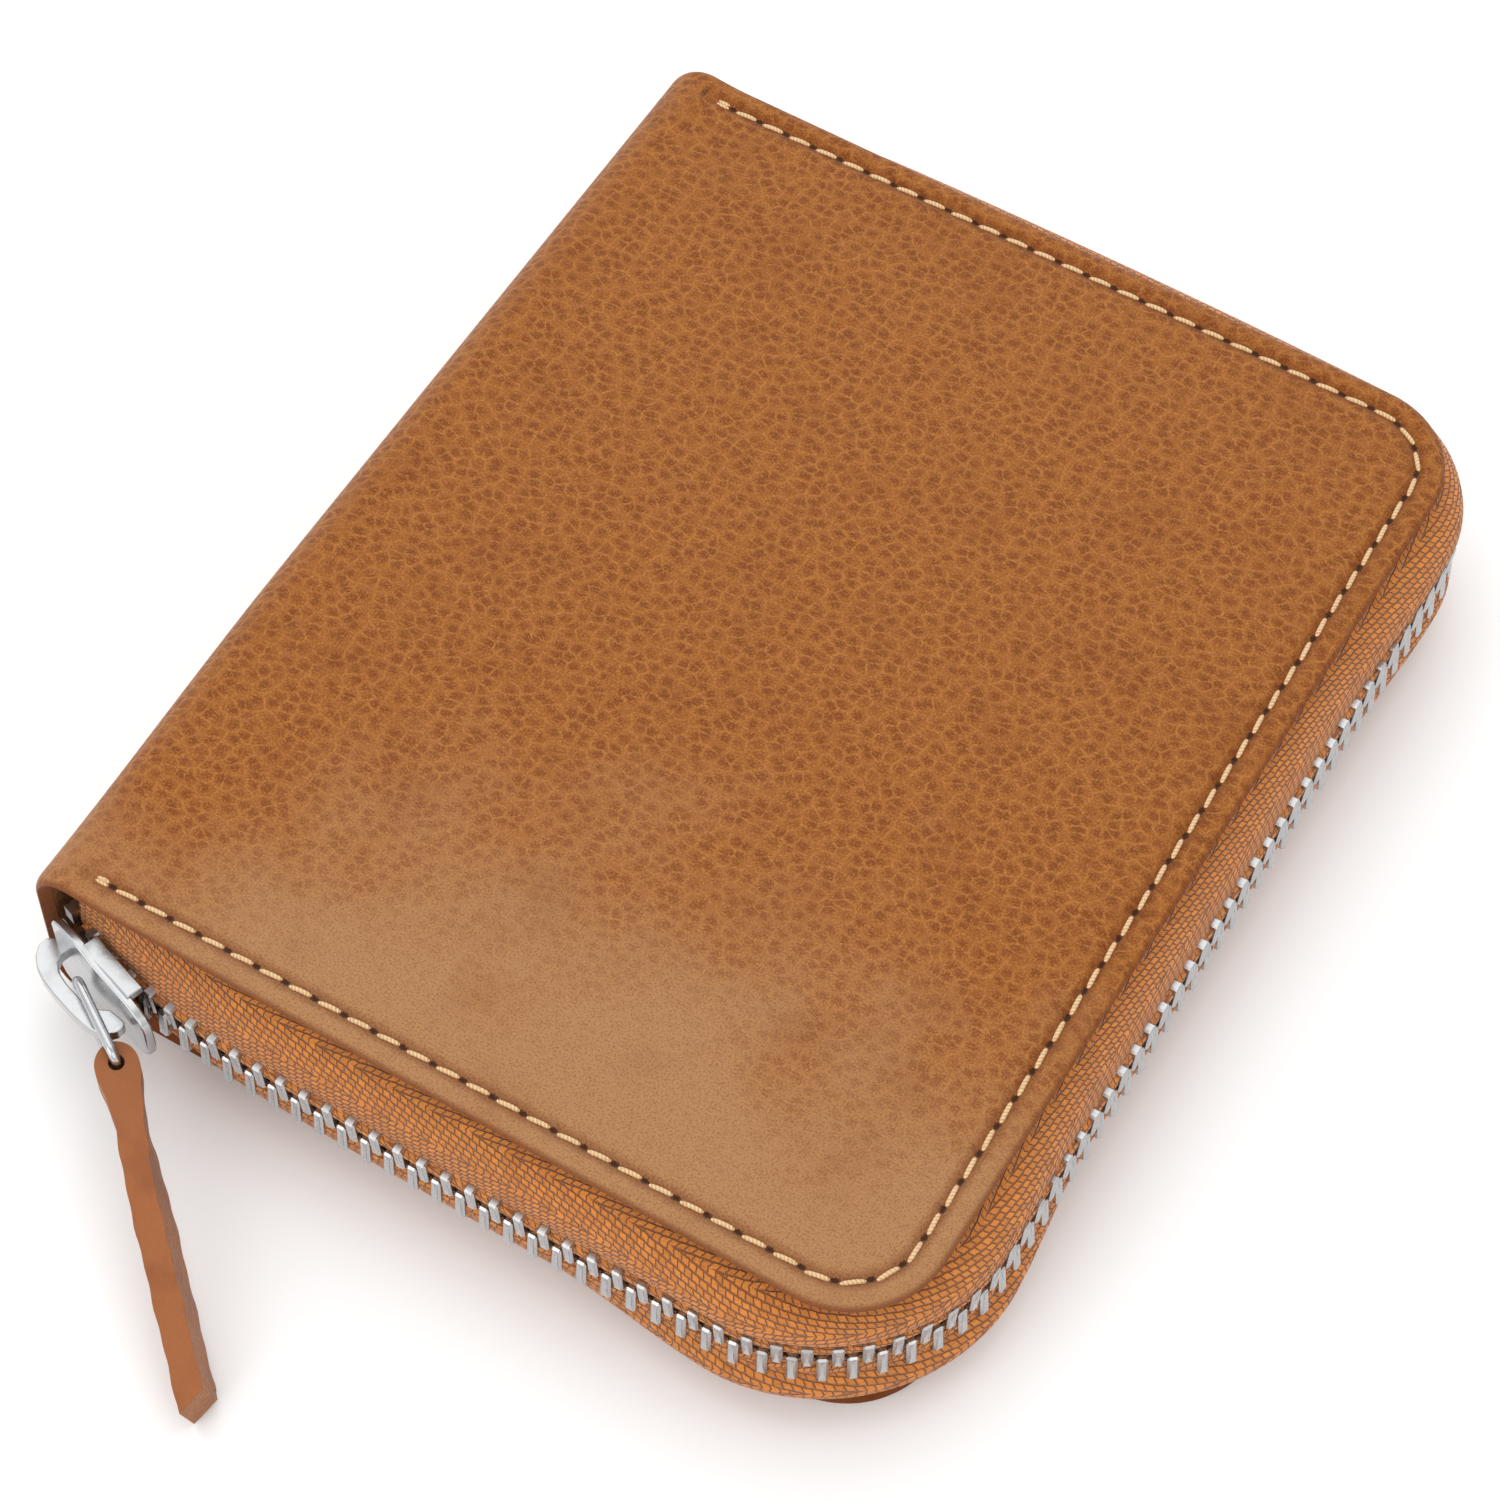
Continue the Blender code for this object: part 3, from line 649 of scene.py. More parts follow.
def smooth_leather(name, tint, crease_x=None):
    """Fine leather for the pockets, with a pressed line along each mouth."""
    c = colours()
    f = Finish(name, specular_ior_level=0.35)
    place = f.place()
    cell = f.cells(f.shaken(place, 0.9 * MM, 0.5 * MM), 0.8 * MM, "DISTANCE_TO_EDGE")
    cloud = f.noise(place, 9 * MM, 3.0)
    fine = f.noise(place, 0.3 * MM, 3.0)
    base = f.mix(cloud.ramp(0.35, 0.75) * 0.35, tint, c.pore_and_shade)
    base = f.mix(fine.ramp(0.5, 0.7) * 0.2, base, c.crease)
    height = cell.ramp(0.0, 0.2) * 0.5 + fine * 0.3
    if crease_x is not None:
        x, _, _ = f.parts(place)
        line = (x - crease_x).maths("ABSOLUTE").ramp(0.32 * MM, 0.1 * MM)
        base = f.mix(line * 0.6, base, c.pore_and_shade)
        height = height - line * 2.0
    f.set(base_color=base, roughness=fine * 0.15 + 0.48)
    f.bump(height, 0.08 * MM, 0.7)
    return f.material


def thread_finish():
    """Waxed thread, its plies lying at a slant."""
    c = colours()
    f = Finish("sewing_thread", specular_ior_level=0.3, sheen_weight=0.2)
    t, side, _ = f.parts(f.stored("ply"))
    twist = ((t * 2.6 + side * 1.1) * (2 * math.pi / MM)).maths("SINE")
    fuzz = f.noise(f.place(), 0.25 * MM, 2.0)
    # Painted shade: the crease colour darkens the grooves between the plies, where twist is low.
    base = f.mix(twist.ramp(0.2, -0.9) * 0.55, c.thread, c.crease)
    f.set(base_color=f.mix(fuzz.ramp(0.5, 0.75) * 0.35, base, c.tan))
    f.set(roughness=fuzz * 0.2 + 0.55)
    f.bump(twist, 0.06 * MM, 0.8)
    return f.material


def woven_tape():
    """Herringbone zip tape: bricks of yarn slanting one way and then the other."""
    c = colours()
    f = Finish("woven_tape", specular_ior_level=0.25, sheen_weight=0.25)
    along, across, _ = f.parts(f.shaken(f.stored("weave"), 0.9 * MM, 0.22 * MM))
    column = (across / (2.6 * MM)).maths("PINGPONG", 1.0) * (2.6 * MM)
    slant = f.vector((along + column * 0.6) / MM, (column + along * 0.12) / MM)
    bricks = {"Vector": slant, "Scale": 1.0, "Mortar Size": 0.1, "Mortar Smooth": 1.0,
              "Brick Width": 0.76, "Row Height": 0.5, "Color1": (0, 0, 0),
              "Color2": (1, 1, 1), "Mortar": (0.5, 0.5, 0.5)}
    settings = {"offset": 0.5, "squash": 1.0}
    gap = f.node("ShaderNodeTexBrick", settings, bricks, "Fac")
    shade = f.parts(f.node("ShaderNodeTexBrick", settings, bricks, "Color"))[0]
    yarn = f.noise(f.vector(along * 0.35, across), 0.12 * MM, 3.0)
    worn = f.noise(f.place(), 5 * MM, 2.0)
    base = f.mix(shade * 0.3 + yarn.ramp(0.45, 0.75) * 0.3, c.tape, c.tape_gap)
    base = f.mix(worn.ramp(0.4, 0.7) * 0.15, base, c.crease)
    # Painted shade: the gaps between the yarns, where the weave sinks, are darker.
    base = f.mix(gap * 0.7, base, c.tape_gap)
    f.set(base_color=base, roughness=yarn * 0.2 + 0.7)
    f.bump((1 - gap) * 1.0 + yarn * 0.5, 0.2 * MM, 1.0)
    return f.material


def nickel(name, roughness):
    """Bright plated metal with faint wear."""
    f = Finish(name)
    place = f.place()
    wear = f.noise(place, 1.6 * MM, 4.0)
    hair = f.noise(f.vector_maths("MULTIPLY", place, (1.0, 0.25, 1.0)), 0.16 * MM, 2.0)
    shade = f.mix(wear.ramp(0.45, 0.75) * 0.3, colours().nickel, (0.38, 0.38, 0.38))
    f.set(base_color=shade, metallic=1.0)
    f.set(roughness=wear * 0.16 + hair * 0.08 + roughness - 0.1)
    f.bump(hair * 0.4 + wear, 0.03 * MM, 0.35)
    return f.material


def cloth(name, tint, thread):
    """Plain woven cloth."""
    f = Finish(name, specular_ior_level=0.2, sheen_weight=0.2)
    place = f.place()
    x, y, _ = f.parts(place)
    turn = math.pi / thread
    weave = (x * turn).maths("SINE") * (y * turn).maths("SINE")
    fuzz = f.noise(place, 0.3 * MM, 3.0)
    # dark is a shaded copy of the tint: painted shade in the weave's hollows, where weave is
    # low; the fuzz adds the cloth's own uneven tone.
    dark = [level * 0.55 for level in tint]
    f.set(base_color=f.mix(weave.ramp(0.1, -0.6) * 0.6 + fuzz * 0.2, tint, dark))
    f.set(roughness=fuzz * 0.15 + 0.75)
    f.bump(weave * 0.6 + fuzz * 0.4, 0.1 * MM, 0.7)
    return f.material


# ---- the hide ------------------------------------------------------------------
def stitch_pitch():
    long = cover_path(sizes().stitch_inset).length
    return long / round(long / sizes().stitch_pitch)


def edge_profile(d, cover):
    """How far the leather's face stands off its flat face, d from its edge."""
    z = sizes()
    turn = 1 - min(d / z.rim, 1.0)
    round_off = -0.75 * MM * (1 - math.sqrt(1 - turn * turn * 0.99))
    pull = math.exp(-((d - z.stitch_inset) / (0.7 * MM)) ** 2)
    rise = z.crown * smooth((d - 3.0 * MM) / (15 * MM))
    return round_off - z.groove * pull * cover + (rise - z.crown) * cover


def on_cover(x, y):
    """A grid point of a cover with the corners rounded: its place, its distance from
    the edge and its length along the stitch line."""
    c = sizes().corner
    cx, cy = EDGE_X - c, END_Y - c
    runs = [run[3] for run in cover_path(sizes().stitch_inset).runs]
    d = min(EDGE_X - x, END_Y - abs(y))
    if x > cx and abs(y) > cy:
        a, b = (x - cx) / c, (abs(y) - cy) / c
        a, b = a * math.sqrt(1 - b * b / 2), b * math.sqrt(1 - a * a / 2)
        d = c * (1 - math.hypot(a, b))
        turn = math.atan2(a, b) / (math.pi / 2)
        x, y = cx + a * c, math.copysign(cy + b * c, y)
        t = runs[0] + turn * runs[1] if y < 0 else sum(runs[:4]) - turn * runs[1]
    elif EDGE_X - x < END_Y - abs(y):
        t = runs[0] + runs[1] + y + cy
    else:
        t = x - FOLD_X if y < 0 else sum(runs) - (x - FOLD_X)
    return x, y, d, t


def hide(name, upper):
    """One half of the outer leather: half the spine, its roll and a cover."""
    half = MIDDLE - FOLD
    roll = FOLD * math.pi / 2
    wide = EDGE_X - FOLD_X
    edge = half + roll + wide
    across = steps_between([
        (0, 1.2 * MM), (half, 0.55 * MM), (half + roll, 1.0 * MM),
        (half + roll + 5 * MM, 2.4 * MM), (edge - 10 * MM, 0.5 * MM),
        (edge - 6.5 * MM, 0.34 * MM), (edge - 1.4 * MM, 0.17 * MM), (edge, 1)])
    along = steps_between([
        (-END_Y, 0.17 * MM), (-END_Y + 1.4 * MM, 0.34 * MM), (-END_Y + 6.5 * MM, 0.5 * MM),
        (-END_Y + 10 * MM, 2.4 * MM), (END_Y - 10 * MM, 0.5 * MM),
        (END_Y - 6.5 * MM, 0.34 * MM), (END_Y - 1.4 * MM, 0.17 * MM), (END_Y, 1)])
    sign = 1 if upper else -1
    skin, seam = {}, {}

    def place(i, j):
        u, y = across[i], along[j] * sign
        d, t, x, on = END_Y - abs(y), 0.0, SPINE_X, 0.0
        bow = sizes().belly * smooth((y + END_Y - 2 * MM) / (38 * MM))
        bow *= math.cos(min(u / (half + roll), 1.0) * math.pi / 2)
        if u <= half:
            z, face = u, Vector((-1, 0, 0))
        elif u < half + roll:
            a = (u - half) / FOLD
            x, z = FOLD_X - FOLD * math.cos(a), half + FOLD * math.sin(a)
            face = Vector((-math.cos(a), 0, math.sin(a)))
        else:
            x, y, d, t = on_cover(FOLD_X + u - half - roll, y)
            z, face = half + FOLD, Vector((0, 0, 1))
        on = smooth((u - half - roll * 0.75) / (5 * MM))
        point = Vector((x, y, z)) + face * (edge_profile(d, on) + bow)
        skin[i, j] = (u, y, 0.0 if upper else 0.05)
        seam[i, j] = (t, d, on)
        return Vector((point.x, point.y, MIDDLE + sign * point.z))

    thing, where = sheet(name, len(across), len(along), place)
    store(thing, "skin", [skin[key] for key in where])
    store(thing, "seam", [seam[key] for key in where])
    thicken(thing, HIDE - 0.15 * MM, -1.0, rim=1)
    paint(thing, bpy.data.materials["grained_leather"], bpy.data.materials["cut_edge"])
    return thing


def stitch():
    """One stitch lying along X, its ends dipping into their needle holes."""
    z = sizes()
    clear_selection()
    bpy.ops.mesh.primitive_uv_sphere_add(segments=8, ring_count=8, radius=1)
    thing = named("stitch")
    ply = []
    for vert in thing.data.vertices:
        x, y, up = vert.co.z, vert.co.x, vert.co.y
        fat = math.sqrt(max(1 - x ** 6, 0.02)) / math.sqrt(max(1 - x * x, 0.02))
        fat = min(fat, 2.2)
        vert.co = (x * z.stitch_long / 2, y * fat * z.thread / 2,
                   up * fat * z.thread * 0.42 - 0.16 * MM * x * x)
        ply.append((vert.co.x, vert.co.y, 0.0))
    store(thing, "ply", ply)
    edit(FACE_OUT)
    bpy.ops.object.shade_smooth()
    return thing


def copies(model, places):
    """A copy of a model, with its own mesh, at each place."""
    out = []
    for place in places:
        copy = model.copy()
        copy.data = model.data.copy()
        copy.data.transform(place)
        bpy.context.scene.collection.objects.link(copy)
        out.append(copy)
    bpy.data.objects.remove(model, do_unlink=True)
    return out


def frame_at(point, x, y, z):
    place = Matrix((x, y, z)).transposed().to_4x4()
    place.translation = point
    return place


class WALLET_OT_hide(bpy.types.Operator):
    """Make the outer leather in two halves that meet along the middle of the spine"""

    bl_idname = "wallet.hide"
    bl_label = "Outer leather"

    def execute(self, context):
        grained_leather()
        cut_edge()
        lower = hide("lower_hide", False)
        upper = hide("upper_hide", True)
        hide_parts("bottom_cover", "lower_spine_fold", "spine_panel")
        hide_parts("top_cover", "upper_spine_fold")
        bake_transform(lower)
        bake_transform(upper)
        return {"FINISHED"}


class WALLET_OT_stitching(bpy.types.Operator):
    """Sew each cover round its three open sides"""

    bl_idname = "wallet.stitching"
    bl_label = "Stitching"

    def execute(self, context):
        thread = thread_finish()
        path, pitch = cover_path(sizes().stitch_inset), stitch_pitch()
        lift = edge_profile(sizes().stitch_inset, 1.0) + 0.12 * MM
        for name, body, sign in (("lower_stitching", "base", -1),
                                 ("upper_stitching", "lid", 1)):
            places = []
            count = round(path.length / pitch)
            doubled = {0: (-0.2, 0.22), count - 1: (-0.2, 0.22)}
            stitches = [(k, off) for k in range(count) for off in doubled.get(k, (0.0,))]
            for k, off in stitches:
                point, way = path.at((k + 0.5) * pitch)
                point = point + Vector((way.y, -way.x)) * off * MM
                lean = math.radians(5) * sign
                x = Vector((way.x * math.cos(lean) - way.y * math.sin(lean),
                            way.x * math.sin(lean) + way.y * math.cos(lean), 0))
                up = Vector((0, 0, sign))
                at = Vector((point.x, point.y, MIDDLE + sign * (MIDDLE + lift)))
                places.append(frame_at(at, x, up.cross(x), up))
            thing = joined(name, copies(stitch(), places))
            paint(thing, thread)
            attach(thing, body)
        return {"FINISHED"}


# ---- the zip -------------------------------------------------------------------
def tape_profile():
    """Middle line of the tape: out from the chain, up from its middle, and each
    point's share of the bulge."""
    top = MIDDLE - HIDE - 0.65 * MM
    line = [(0.1, 0.45, 0), (0.35, 1.4, 0), (0.3, 2.4, 0.0), (0.1, 3.2, 0.25),
            (-0.05, 3.9, 0.7), (-0.25, 4.6, 0.95), (-0.5, 5.3, 1.0), (-0.9, 6.0, 1.0),
            (-1.4, 6.7, 0.85), (-2.0, 7.25, 0.6), (-2.8, 7.75, 0.3), (-3.6, 8.1, 0.1)]
    line = [(out * MM, up * MM, share) for out, up, share in line]
    return line + [(-4.6 * MM, top, 0), (-6.5 * MM, top, 0), (-9.0 * MM, top, 0)]


def zip_tape(name, sign):
    z, path = sizes(), zip_path()
    line = tape_profile()
    steps = round(path.length / (1.1 * MM))
    bulge = [swell(path.length * j / steps, sign) for j in range(steps + 1)]
    weave, reach = {}, [0.0]
    for one, two in zip(line, line[1:]):
        reach.append(reach[-1] + math.dist(one[:2], two[:2]))

    def place(i, j):
        out, up, share = line[i]
        trim = 1.6 * MM * max(0.0, 1 - i / 9) ** 2
        s = trim + j / steps * (path.length - 2 * trim)
        out += share * bulge[j]
        up += parted(s) * (1 - min(max((up - 0.45 * MM) / (7.7 * MM), 0), 1))
        weave[i, j] = (s, reach[i] + (0 if sign > 0 else 0.1), 0)
        return path.beside(s, out, MIDDLE + sign * up)

    thing, where = sheet(name, len(line), steps + 1, place)
    store(thing, "weave", [weave[key] for key in where])
    thicken(thing, z.tape, 0.0)
    return thing


def bead(name, sign):
    """The corded edge of the tape, which the teeth are clamped to."""
    path = zip_path()
    end = path.length - 5.0 * MM
    steps = round(end / (1.5 * MM))
    points = []
    for k in range(steps + 1):
        s = 1.5 * MM + (end - 1.5 * MM) * k / steps
        points.append(path.beside(s, 0.1 * MM, MIDDLE + sign * (1.9 * MM + parted(s))))
    thing = wire(name, points, 0.85 * MM)
    store(thing, "weave", [(v.co.x + v.co.y, v.co.z, 0) for v in thing.data.vertices])
    return thing


def tooth():
    """One tooth: two legs clamped on the tape's corded edge and a scooped head."""
    z = sizes()
    thing = box("tooth", (-z.tooth_long / 2, -TOOTH_OUT, -z.tooth_mesh),
                (z.tooth_long / 2, TOOTH_OUT, z.tooth_back))
    middle = (z.tooth_back - z.tooth_mesh) / 2
    bpy.ops.object.mode_set(mode="EDIT")
    pick("faces", lambda face: face.normal.z < -0.5)
    bpy.ops.transform.resize(value=(0.86, 0.72, 1),
                             center_override=(0, 0, -z.tooth_mesh))
    pick("faces", lambda face: face.normal.z > 0.5)
    bpy.ops.transform.resize(value=(0.92, 0.94, 1), center_override=(0, 0, z.tooth_back))
    bpy.ops.mesh.select_all(action="SELECT")
    bpy.ops.mesh.bevel(offset=0.2 * MM, segments=1, affect="EDGES")
    pick("faces", lambda face: abs(face.normal.y) > 0.9 and face.calc_area() > 1.2e-6)
    bpy.ops.mesh.inset(thickness=0.16 * MM, depth=-0.14 * MM)
    bpy.ops.transform.resize(value=(0.8, 1, 0.55), center_override=(0, 0, middle * 0.55))
    bpy.ops.object.mode_set(mode="OBJECT")
    shade(28)
    return thing


def tooth_row(name, sign):
    z, path = sizes(), zip_path()
    s = slider_at()[1] - 4.8 * MM + (z.tooth_pitch / 2 if sign > 0 else 0)
    places = []
    while s < path.length - 7.0 * MM:
        x = path.at(s)[1].to_3d() * sign
        up = Vector((0, 0, sign))
        at = path.beside(s, 0.2 * MM, MIDDLE + sign * parted(s))
        places.append(frame_at(at, x, up.cross(x), up))
        s += z.tooth_pitch
    return joined(name, copies(tooth(), places))


class WALLET_OT_zip_tape(bpy.types.Operator):
    """Make the two woven tapes with their corded edges"""

    bl_idname = "wallet.zip_tape"
    bl_label = "Zip tape"

    def execute(self, context):
        canvas = woven_tape()
        for half, body, sign in (("lower", "base", -1), ("upper", "lid", 1)):
            tape = zip_tape(half + "_tape", sign)
            cord = bead(half + "_tape_bead", sign)
            for thing in (tape, cord):
                paint(thing, canvas)
                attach(thing, body)
            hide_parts(half + "_zip_tape")
        return {"FINISHED"}


class WALLET_OT_teeth(bpy.types.Operator):
    """Clamp a row of metal teeth to each tape, one row half a pitch from the other"""

    bl_idname = "wallet.teeth"
    bl_label = "Teeth and stops"

    def execute(self, context):
        metal = nickel("tooth_nickel", 0.26)
        for half, body, sign in (("lower", "base", -1), ("upper", "lid", 1)):
            row = tooth_row(half + "_teeth", sign)
            paint(row, metal)
            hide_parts(half + "_tooth_row")
            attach(row, body)
        for node in ("lower_top_stop", "upper_top_stop", "zip_end_stop"):
            stop = frame["nodes"][node]
            stop.data.materials.clear()
            paint(stop, metal)
        return {"FINISHED"}


# ---- slider, link and tab --------------------------------------------------------
def slider_frame():
    """x along the slider towards its nose, y outwards and z down."""
    turn, s = slider_at()
    point, _ = zip_path().at(s)
    yaw = turn - SLIDER_SKEW
    x = Vector((math.cos(yaw), math.sin(yaw), 0))
    y = Vector((math.sin(yaw), -math.cos(yaw), 0))
    return frame_at(Vector((*point, MIDDLE)), x, y, Vector((0, 0, -1)))


def slider_body():
    flat = slider_frame()
    upright = flat @ Matrix.Rotation(math.radians(-90), 4, "X")
    half = [(6.9, 1.3), (6.75, 2.3), (6.2, 3.05), (5.3, 3.5), (4.2, 3.9), (-0.8, 4.2),
            (-2.2, 4.75), (-3.2, 5.0), (-5.8, 5.0), (-6.6, 4.6), (-7.0, 3.8), (-6.9, 1.6)]
    outline = half + [(x, -y) for x, y in reversed(half)]
    pieces = [slab("outer_plate", outline, 2.15, 3.1, upright, 0.22, 3),
              slab("inner_plate", outline, -3.05, -2.15, upright, 0.2)]
    post = [(-6.7, 0.85), (-5.2, 0.85), (-3.9, 0.15)]
    post += [(x, -y) for x, y in reversed(post)]
    pieces.append(slab("post", post, -2.4, 2.4, upright, 0.08, 1))
    for up in (1, -1):
        for low, high in ((0.85, 2.6), (-2.6, -0.85)):
            flange = [(4.1, 3.3), (-1.0, 3.3), (-2.6, 4.3), (-2.6, 5.0), (-1.0, 4.3),
                      (4.1, 4.3)]
            flange = [(x, y * up) for x, y in flange]
            pieces.append(slab("flange", flange, low, high, upright, 0.18, 3))
    outside = [(-7.0, 2.6), (-7.7, 3.6), (-7.6, 4.5), (-6.9, 5.4), (-5.8, 6.05),
               (-4.4, 6.4), (-2.5, 6.55), (0.0, 6.55), (1.8, 6.4), (3.2, 6.0),
               (4.1, 5.3), (4.45, 4.5), (4.35, 3.7), (4.0, 3.4)]
    inside = [(2.2, 3.62), (1.6, 4.25), (0.9, 4.8), (-0.2, 5.0), (-2.6, 5.0),
              (-4.0, 4.8), (-4.9, 4.3), (-5.3, 3.6), (-5.3, 2.6)]
    pieces.append(slab("arch", outside + inside, -0.68, 0.68, flat, 0.14, 2))
    return joined("zip_slider", pieces)


def bar_frame(point, way):
    """x along a piece hung on a bar, y across its thickness and z along the bar."""
    return frame_at(point, way, BAR.cross(way), BAR)


def link():
    place = bar_frame(NEAR_BAR, (FAR_BAR - NEAR_BAR).normalized())
    z = bpy.context.scene.wallet_sizes
    far, half, bend = (FAR_BAR - NEAR_BAR).length / MM, z.link_wide / 2, z.link_bend
    line = (arc(far - bend, half - bend, bend, 0, 90, 6)
            + arc(bend, half - bend, bend, 90, 180, 6)
            + arc(bend, bend - half, bend, 180, 270, 6)
            + arc(far - bend, bend - half, bend, 270, 360, 6))
    points = [place @ (Vector((x, 0, y)) * MM) for x, y in line]
    return wire("wire_link", points, sizes().wire / 2, cyclic=True)


def tab_way():
    """The tab's direction: square to the bar, at its own angle in plan."""
    flat = Vector((math.cos(TAB_ANGLE), math.sin(TAB_ANGLE), 0))
    return (flat - Vector((0, 0, flat.dot(BAR) / BAR.z))).normalized()


def tab():
    """A strip doubled round the link's bar: teardrop head, twist, slanted tip."""
    z = sizes()
    head, leather = 2.0, 1.3
    far = z.tab_long / MM
    thing = box("pull_tab_strip", (-head * MM, -MM, -MM), (z.tab_long, MM, MM))
    bpy.ops.object.mode_set(mode="EDIT")
    pick("edges", lambda edge: abs((edge.verts[0].co - edge.verts[1].co).x) > 5 * MM)
    bpy.ops.mesh.subdivide(number_cuts=59)
    bpy.ops.object.mode_set(mode="OBJECT")
    for vert in thing.data.vertices:
        share = max(0.0, (vert.co.x / MM + head) / (far + head))
        x = share ** 1.6 * (far + head) - head
        thick = math.sqrt(max(head ** 2 - x ** 2, 0.0)) if x < 0 else leather + (
            head - leather) * (1 - smooth((x + 0.3) / 7.5))
        thick += 0.05 * math.sin(x * 1.7) + 0.04 * math.sin(x * 0.83 + 1)
        wide = 1.7 + (z.tab_wide / MM / 2 - 1.7) * smooth((x - 1.0) / 6)
        side = math.copysign(1, vert.co.y)
        x -= (1.5 if side > 0 else 0.0) * smooth((x - far + 3) / 3)
        corner = Vector((0, side * max(thick, 0.35), math.copysign(wide, vert.co.z)))
        corner.rotate(Matrix.Rotation(math.radians(12) * smooth((x - 3) / 11), 3, "X"))
        vert.co = (corner + Vector((x, 0, 0))) * MM
    clear_selection()
    bpy.ops.mesh.primitive_cylinder_add(vertices=28, radius=0.75 * MM, depth=12 * MM)
    bore = named("bore")
    cut = thing.modifiers.new("cut", "BOOLEAN")
    cut.operation = "DIFFERENCE"
    cut.object = bore
    apply_all(thing)
    bpy.data.objects.remove(bore, do_unlink=True)
    soft_edges(thing, 0.22 * MM, sizes_steps(), 40, flat=False)
    return settle(thing, bar_frame(FAR_BAR, tab_way()))


def sizes_steps():
    return bpy.context.scene.wallet_sizes.leather_edges


def tab_leather():
    """Strap leather with a smooth painted face and a rougher side."""
    c = colours()
    f = Finish("tab_leather", specular_ior_level=0.4)
    place = f.place()
    fine = f.noise(place, 0.35 * MM, 3.0)
    cloud = f.noise(place, 4 * MM, 2.0)
    pit = f.cells(f.shaken(place, 0.8 * MM, 0.5 * MM), 0.9 * MM, "DISTANCE_TO_EDGE")
    normal = f.node("ShaderNodeNewGeometry", {}, {}, "Normal")
    up = f.parts(normal)[2].ramp(0.35, 0.75)
    base = f.mix(up, c.tan, c.edge)
    base = f.mix(cloud.ramp(0.4, 0.75) * 0.35, base, c.pore_and_shade)
    base = f.mix(fine.ramp(0.5, 0.7) * 0.25 * (1 - up * 0.7), base, c.crease)
    f.set(base_color=base, roughness=fine * 0.16 + 0.4)
    f.bump(fine * 0.4 + pit.ramp(0.0, 0.2) * (1 - up) * 0.9, 0.1 * MM, 0.8)
    return f.material


class WALLET_OT_slider(bpy.types.Operator):
    """Make the slider with the arch that holds its link"""

    bl_idname = "wallet.slider"
    bl_label = "Slider"

    def execute(self, context):
        thing = slider_body()
        paint(thing, nickel("slider_nickel", 0.2))
        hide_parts("slider_body")
        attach(thing, "slider")
        return {"FINISHED"}


class WALLET_OT_pull(bpy.types.Operator):
    """Make the wire link and the leather tab that hangs on it"""

    bl_idname = "wallet.pull"
    bl_label = "Link and tab"

    def execute(self, context):
        loop = link()
        paint(loop, bpy.data.materials["slider_nickel"])
        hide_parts("pull_link")
        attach(loop, "link")
        strap = tab()
        paint(strap, tab_leather())
        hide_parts("pull_tab")
        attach(strap, "tab")
        return {"FINISHED"}


# ---- inside --------------------------------------------------------------------
def layer(node, name, material, slot, body):
    """An inner layer cut to its board's outline, its edges rounded over."""
    thing = bpy.data.objects.new(name, frame["nodes"][node].data.copy())
    bpy.context.scene.collection.objects.link(thing)
    thing.data.materials.clear()
    choose([thing])
    edit(MERGE, (bpy.ops.mesh.dissolve_limited, {"angle_limit": math.radians(3)}))
    soft_edges(thing, 0.22 * MM)
    paint(thing, material)
    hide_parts(node)
    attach(thing, body)
    return thing


class WALLET_OT_inside(bpy.types.Operator):
    """Make the boards, linings, note panels and card leaves"""

    bl_idname = "wallet.inside"
    bl_label = "Inside"

    def execute(self, context):
        c = colours()
        lining = cloth("lining_cloth", c.lining, 0.45 * MM)
        board = cloth("board", (0.16, 0.12, 0.08), 0.3 * MM)
        for side, half, body in (("bottom", "lower", "base"), ("top", "upper", "lid")):
            layer(side + "_board", half + "_stiffener", board, "board", body)
            layer(side + "_lining", half + "_cloth_lining", lining, "lining_cloth", body)
            leaves = [half + "_note_panel"]
            leaves += [f"{half}_card_leaf_{k}" for k in (1, 2, 3)]
            for k, node in enumerate(leaves):
                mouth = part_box(node)[0].x + 1.6 * MM
                leather = smooth_leather(f"{half}_pocket_leather_{k}", c.pocket, mouth)
                layer(node, f"{half}_pocket_{k}", leather, "pocket_leather", body)
        layer("spine_lining", "spine_cloth_lining", lining, "lining_cloth", "spine")
        return {"FINISHED"}


# ---- stage -----------------------------------------------------------------------
def softbox(name, at, target, size, power):
    clear_selection()
    bpy.ops.object.light_add(type="AREA", location=at)
    lamp = named(name)
    lamp.data.shape = "RECTANGLE"
    lamp.data.size, lamp.data.size_y = size
    lamp.data.energy = power
    lamp.rotation_euler = (Vector(target) - Vector(at)).to_track_quat("-Z", "Y").to_euler()


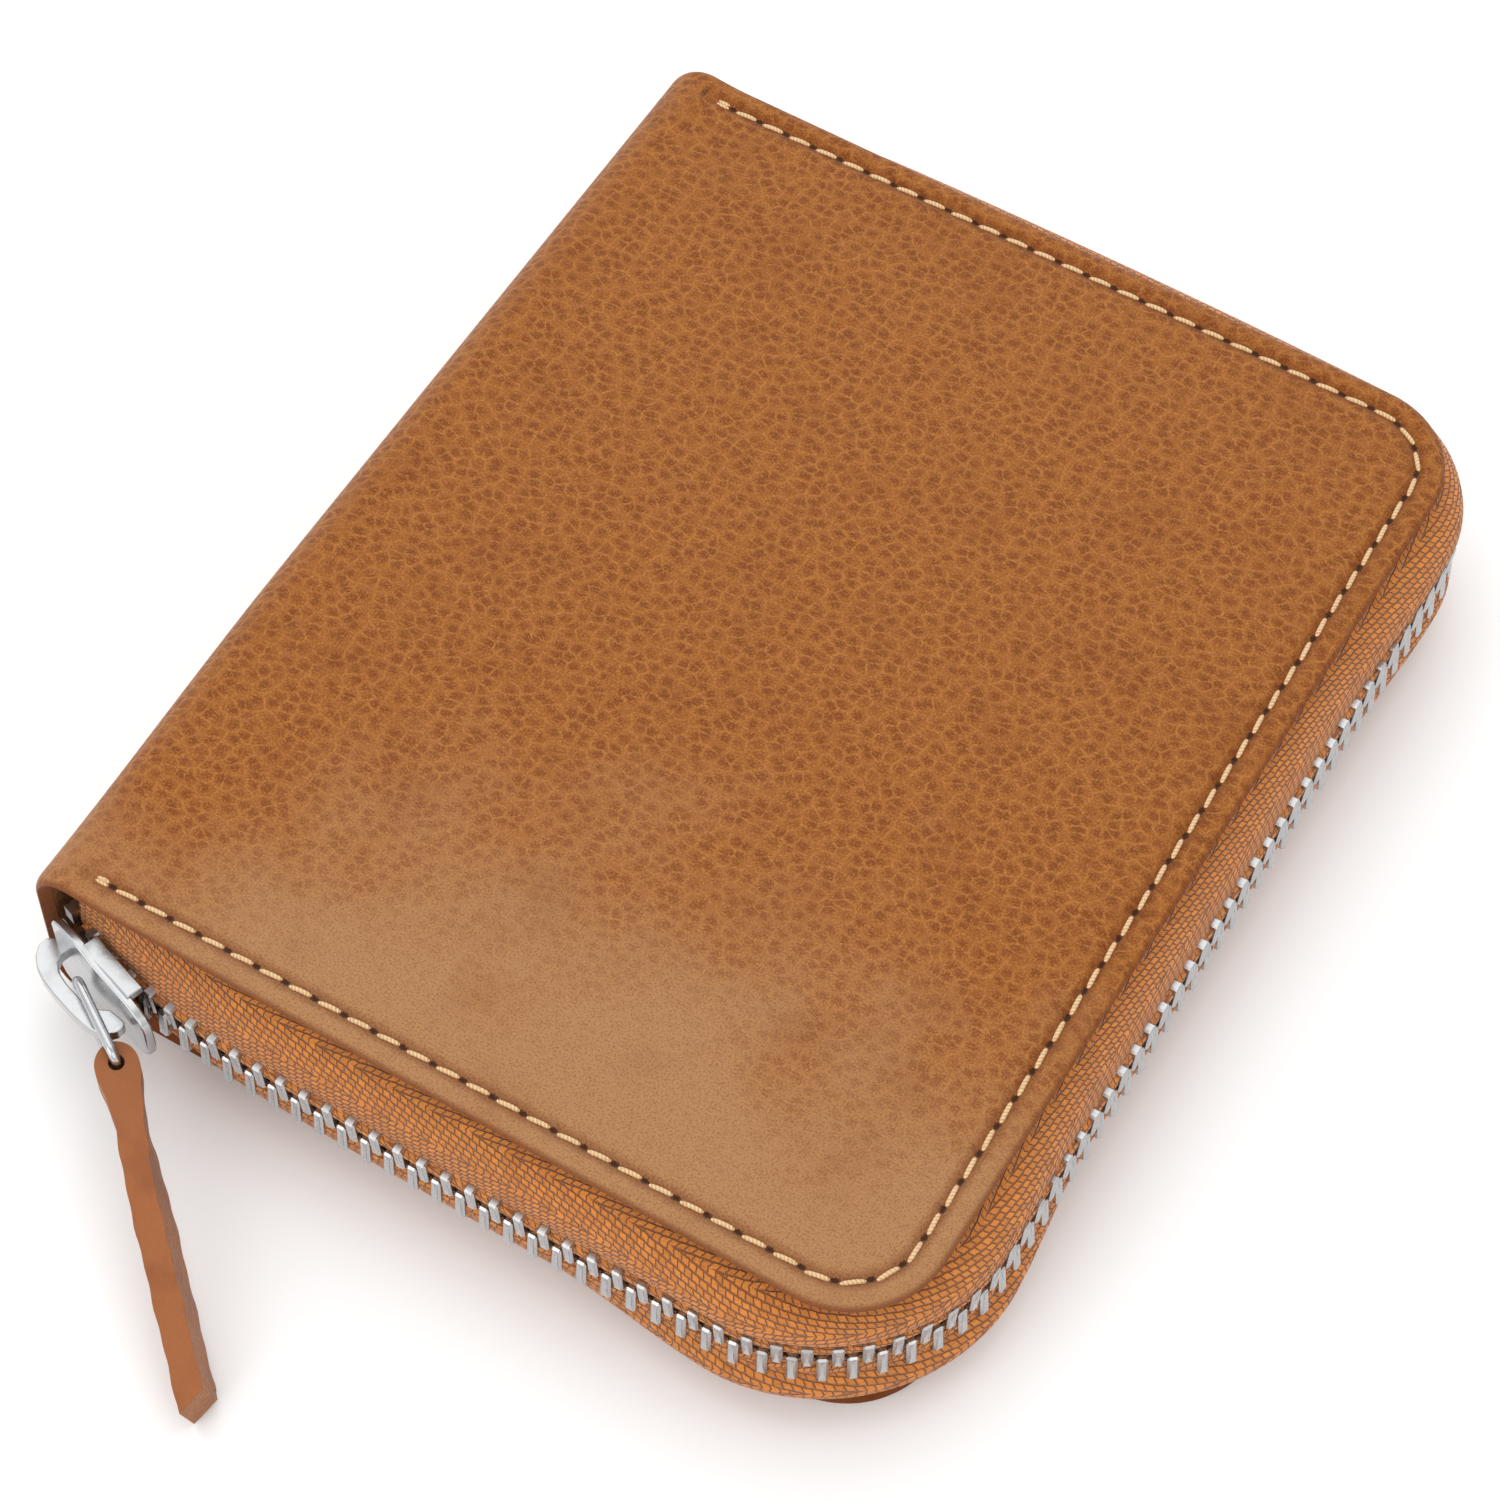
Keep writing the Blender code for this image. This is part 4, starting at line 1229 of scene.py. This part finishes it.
class WALLET_OT_stage(bpy.types.Operator):
    """Set up the pale floor, the soft lights and the camera"""

    bl_idname = "wallet.stage"
    bl_label = "Floor, light and camera"

    def execute(self, context):
        clear_selection()
        bpy.ops.mesh.primitive_plane_add(size=6)
        floor = named("floor")
        f = Finish("floor_paper", roughness=0.9, specular_ior_level=0.1)
        paper = f.noise(f.place(), 0.4, 2.0)
        f.set(base_color=f.mix(paper * 0.3, (0.95, 0.95, 0.95), (0.93, 0.93, 0.935)))
        paint(floor, f.material)
        softbox("key_light", (-0.3, 0.4, 0.9), (0, 0, 0), (1.5, 1.5), 6.2)
        softbox("fill_light", (0.7, -0.5, 0.6), (0, 0, 0), (0.8, 0.6), 1.5)
        softbox("front_light", (-0.2, -0.8, 0.5), (0, 0, 0), (0.6, 0.5), 1.7)
        world = bpy.data.worlds.new("studio")
        world.use_nodes = True
        sky = world.node_tree.nodes["Background"]
        sky.inputs["Color"].default_value = (1.0, 1.0, 1.0, 1.0)
        sky.inputs["Strength"].default_value = 0.85
        context.scene.world = world
        target, away = Vector((4.14, -11.5, 21.0)) * MM, 395.5 * MM
        turn, rise = math.radians(31.36), math.radians(57.73)
        back = Vector((math.sin(turn) * math.cos(rise),
                       -math.cos(turn) * math.cos(rise), math.sin(rise)))
        bpy.ops.object.camera_add(location=target + back * away,
                                  rotation=(math.pi / 2 - rise, 0, turn))
        camera = named("camera")
        camera.data.lens = 103.9
        camera.data.sensor_width = 36
        camera.data.clip_start = 0.01
        context.scene.camera = camera
        context.scene.view_settings.view_transform = "Standard"
        return {"FINISHED"}


class WALLET_PT_panel(bpy.types.Panel):
    """The wallet's steps and settings"""

    bl_idname = "WALLET_PT_panel"
    bl_label = "Zip around wallet"
    bl_space_type = "VIEW_3D"
    bl_region_type = "UI"
    bl_category = "Wallet"

    def draw(self, context):
        for step in STEPS:
            self.layout.operator(step.bl_idname)
        for group in (context.scene.wallet_sizes, context.scene.wallet_colours):
            column = self.layout.column(align=True)
            for name in group.__annotations__:
                column.prop(group, name)


STEPS = (WALLET_OT_stage, WALLET_OT_hide, WALLET_OT_stitching, WALLET_OT_zip_tape,
         WALLET_OT_teeth, WALLET_OT_slider, WALLET_OT_pull, WALLET_OT_inside)
CLASSES = (WalletSizes, WalletColours, *STEPS, WALLET_PT_panel)


def register():
    for item in CLASSES:
        bpy.utils.register_class(item)
    bpy.types.Scene.wallet_sizes = PointerProperty(type=WalletSizes)
    bpy.types.Scene.wallet_colours = PointerProperty(type=WalletColours)


def unregister():
    del bpy.types.Scene.wallet_colours
    del bpy.types.Scene.wallet_sizes
    for item in reversed(CLASSES):
        bpy.utils.unregister_class(item)


def main():
    register()
    for step in STEPS:
        getattr(bpy.ops.wallet, step.bl_idname.split(".")[1])()


if __name__ == "__main__":
    main()
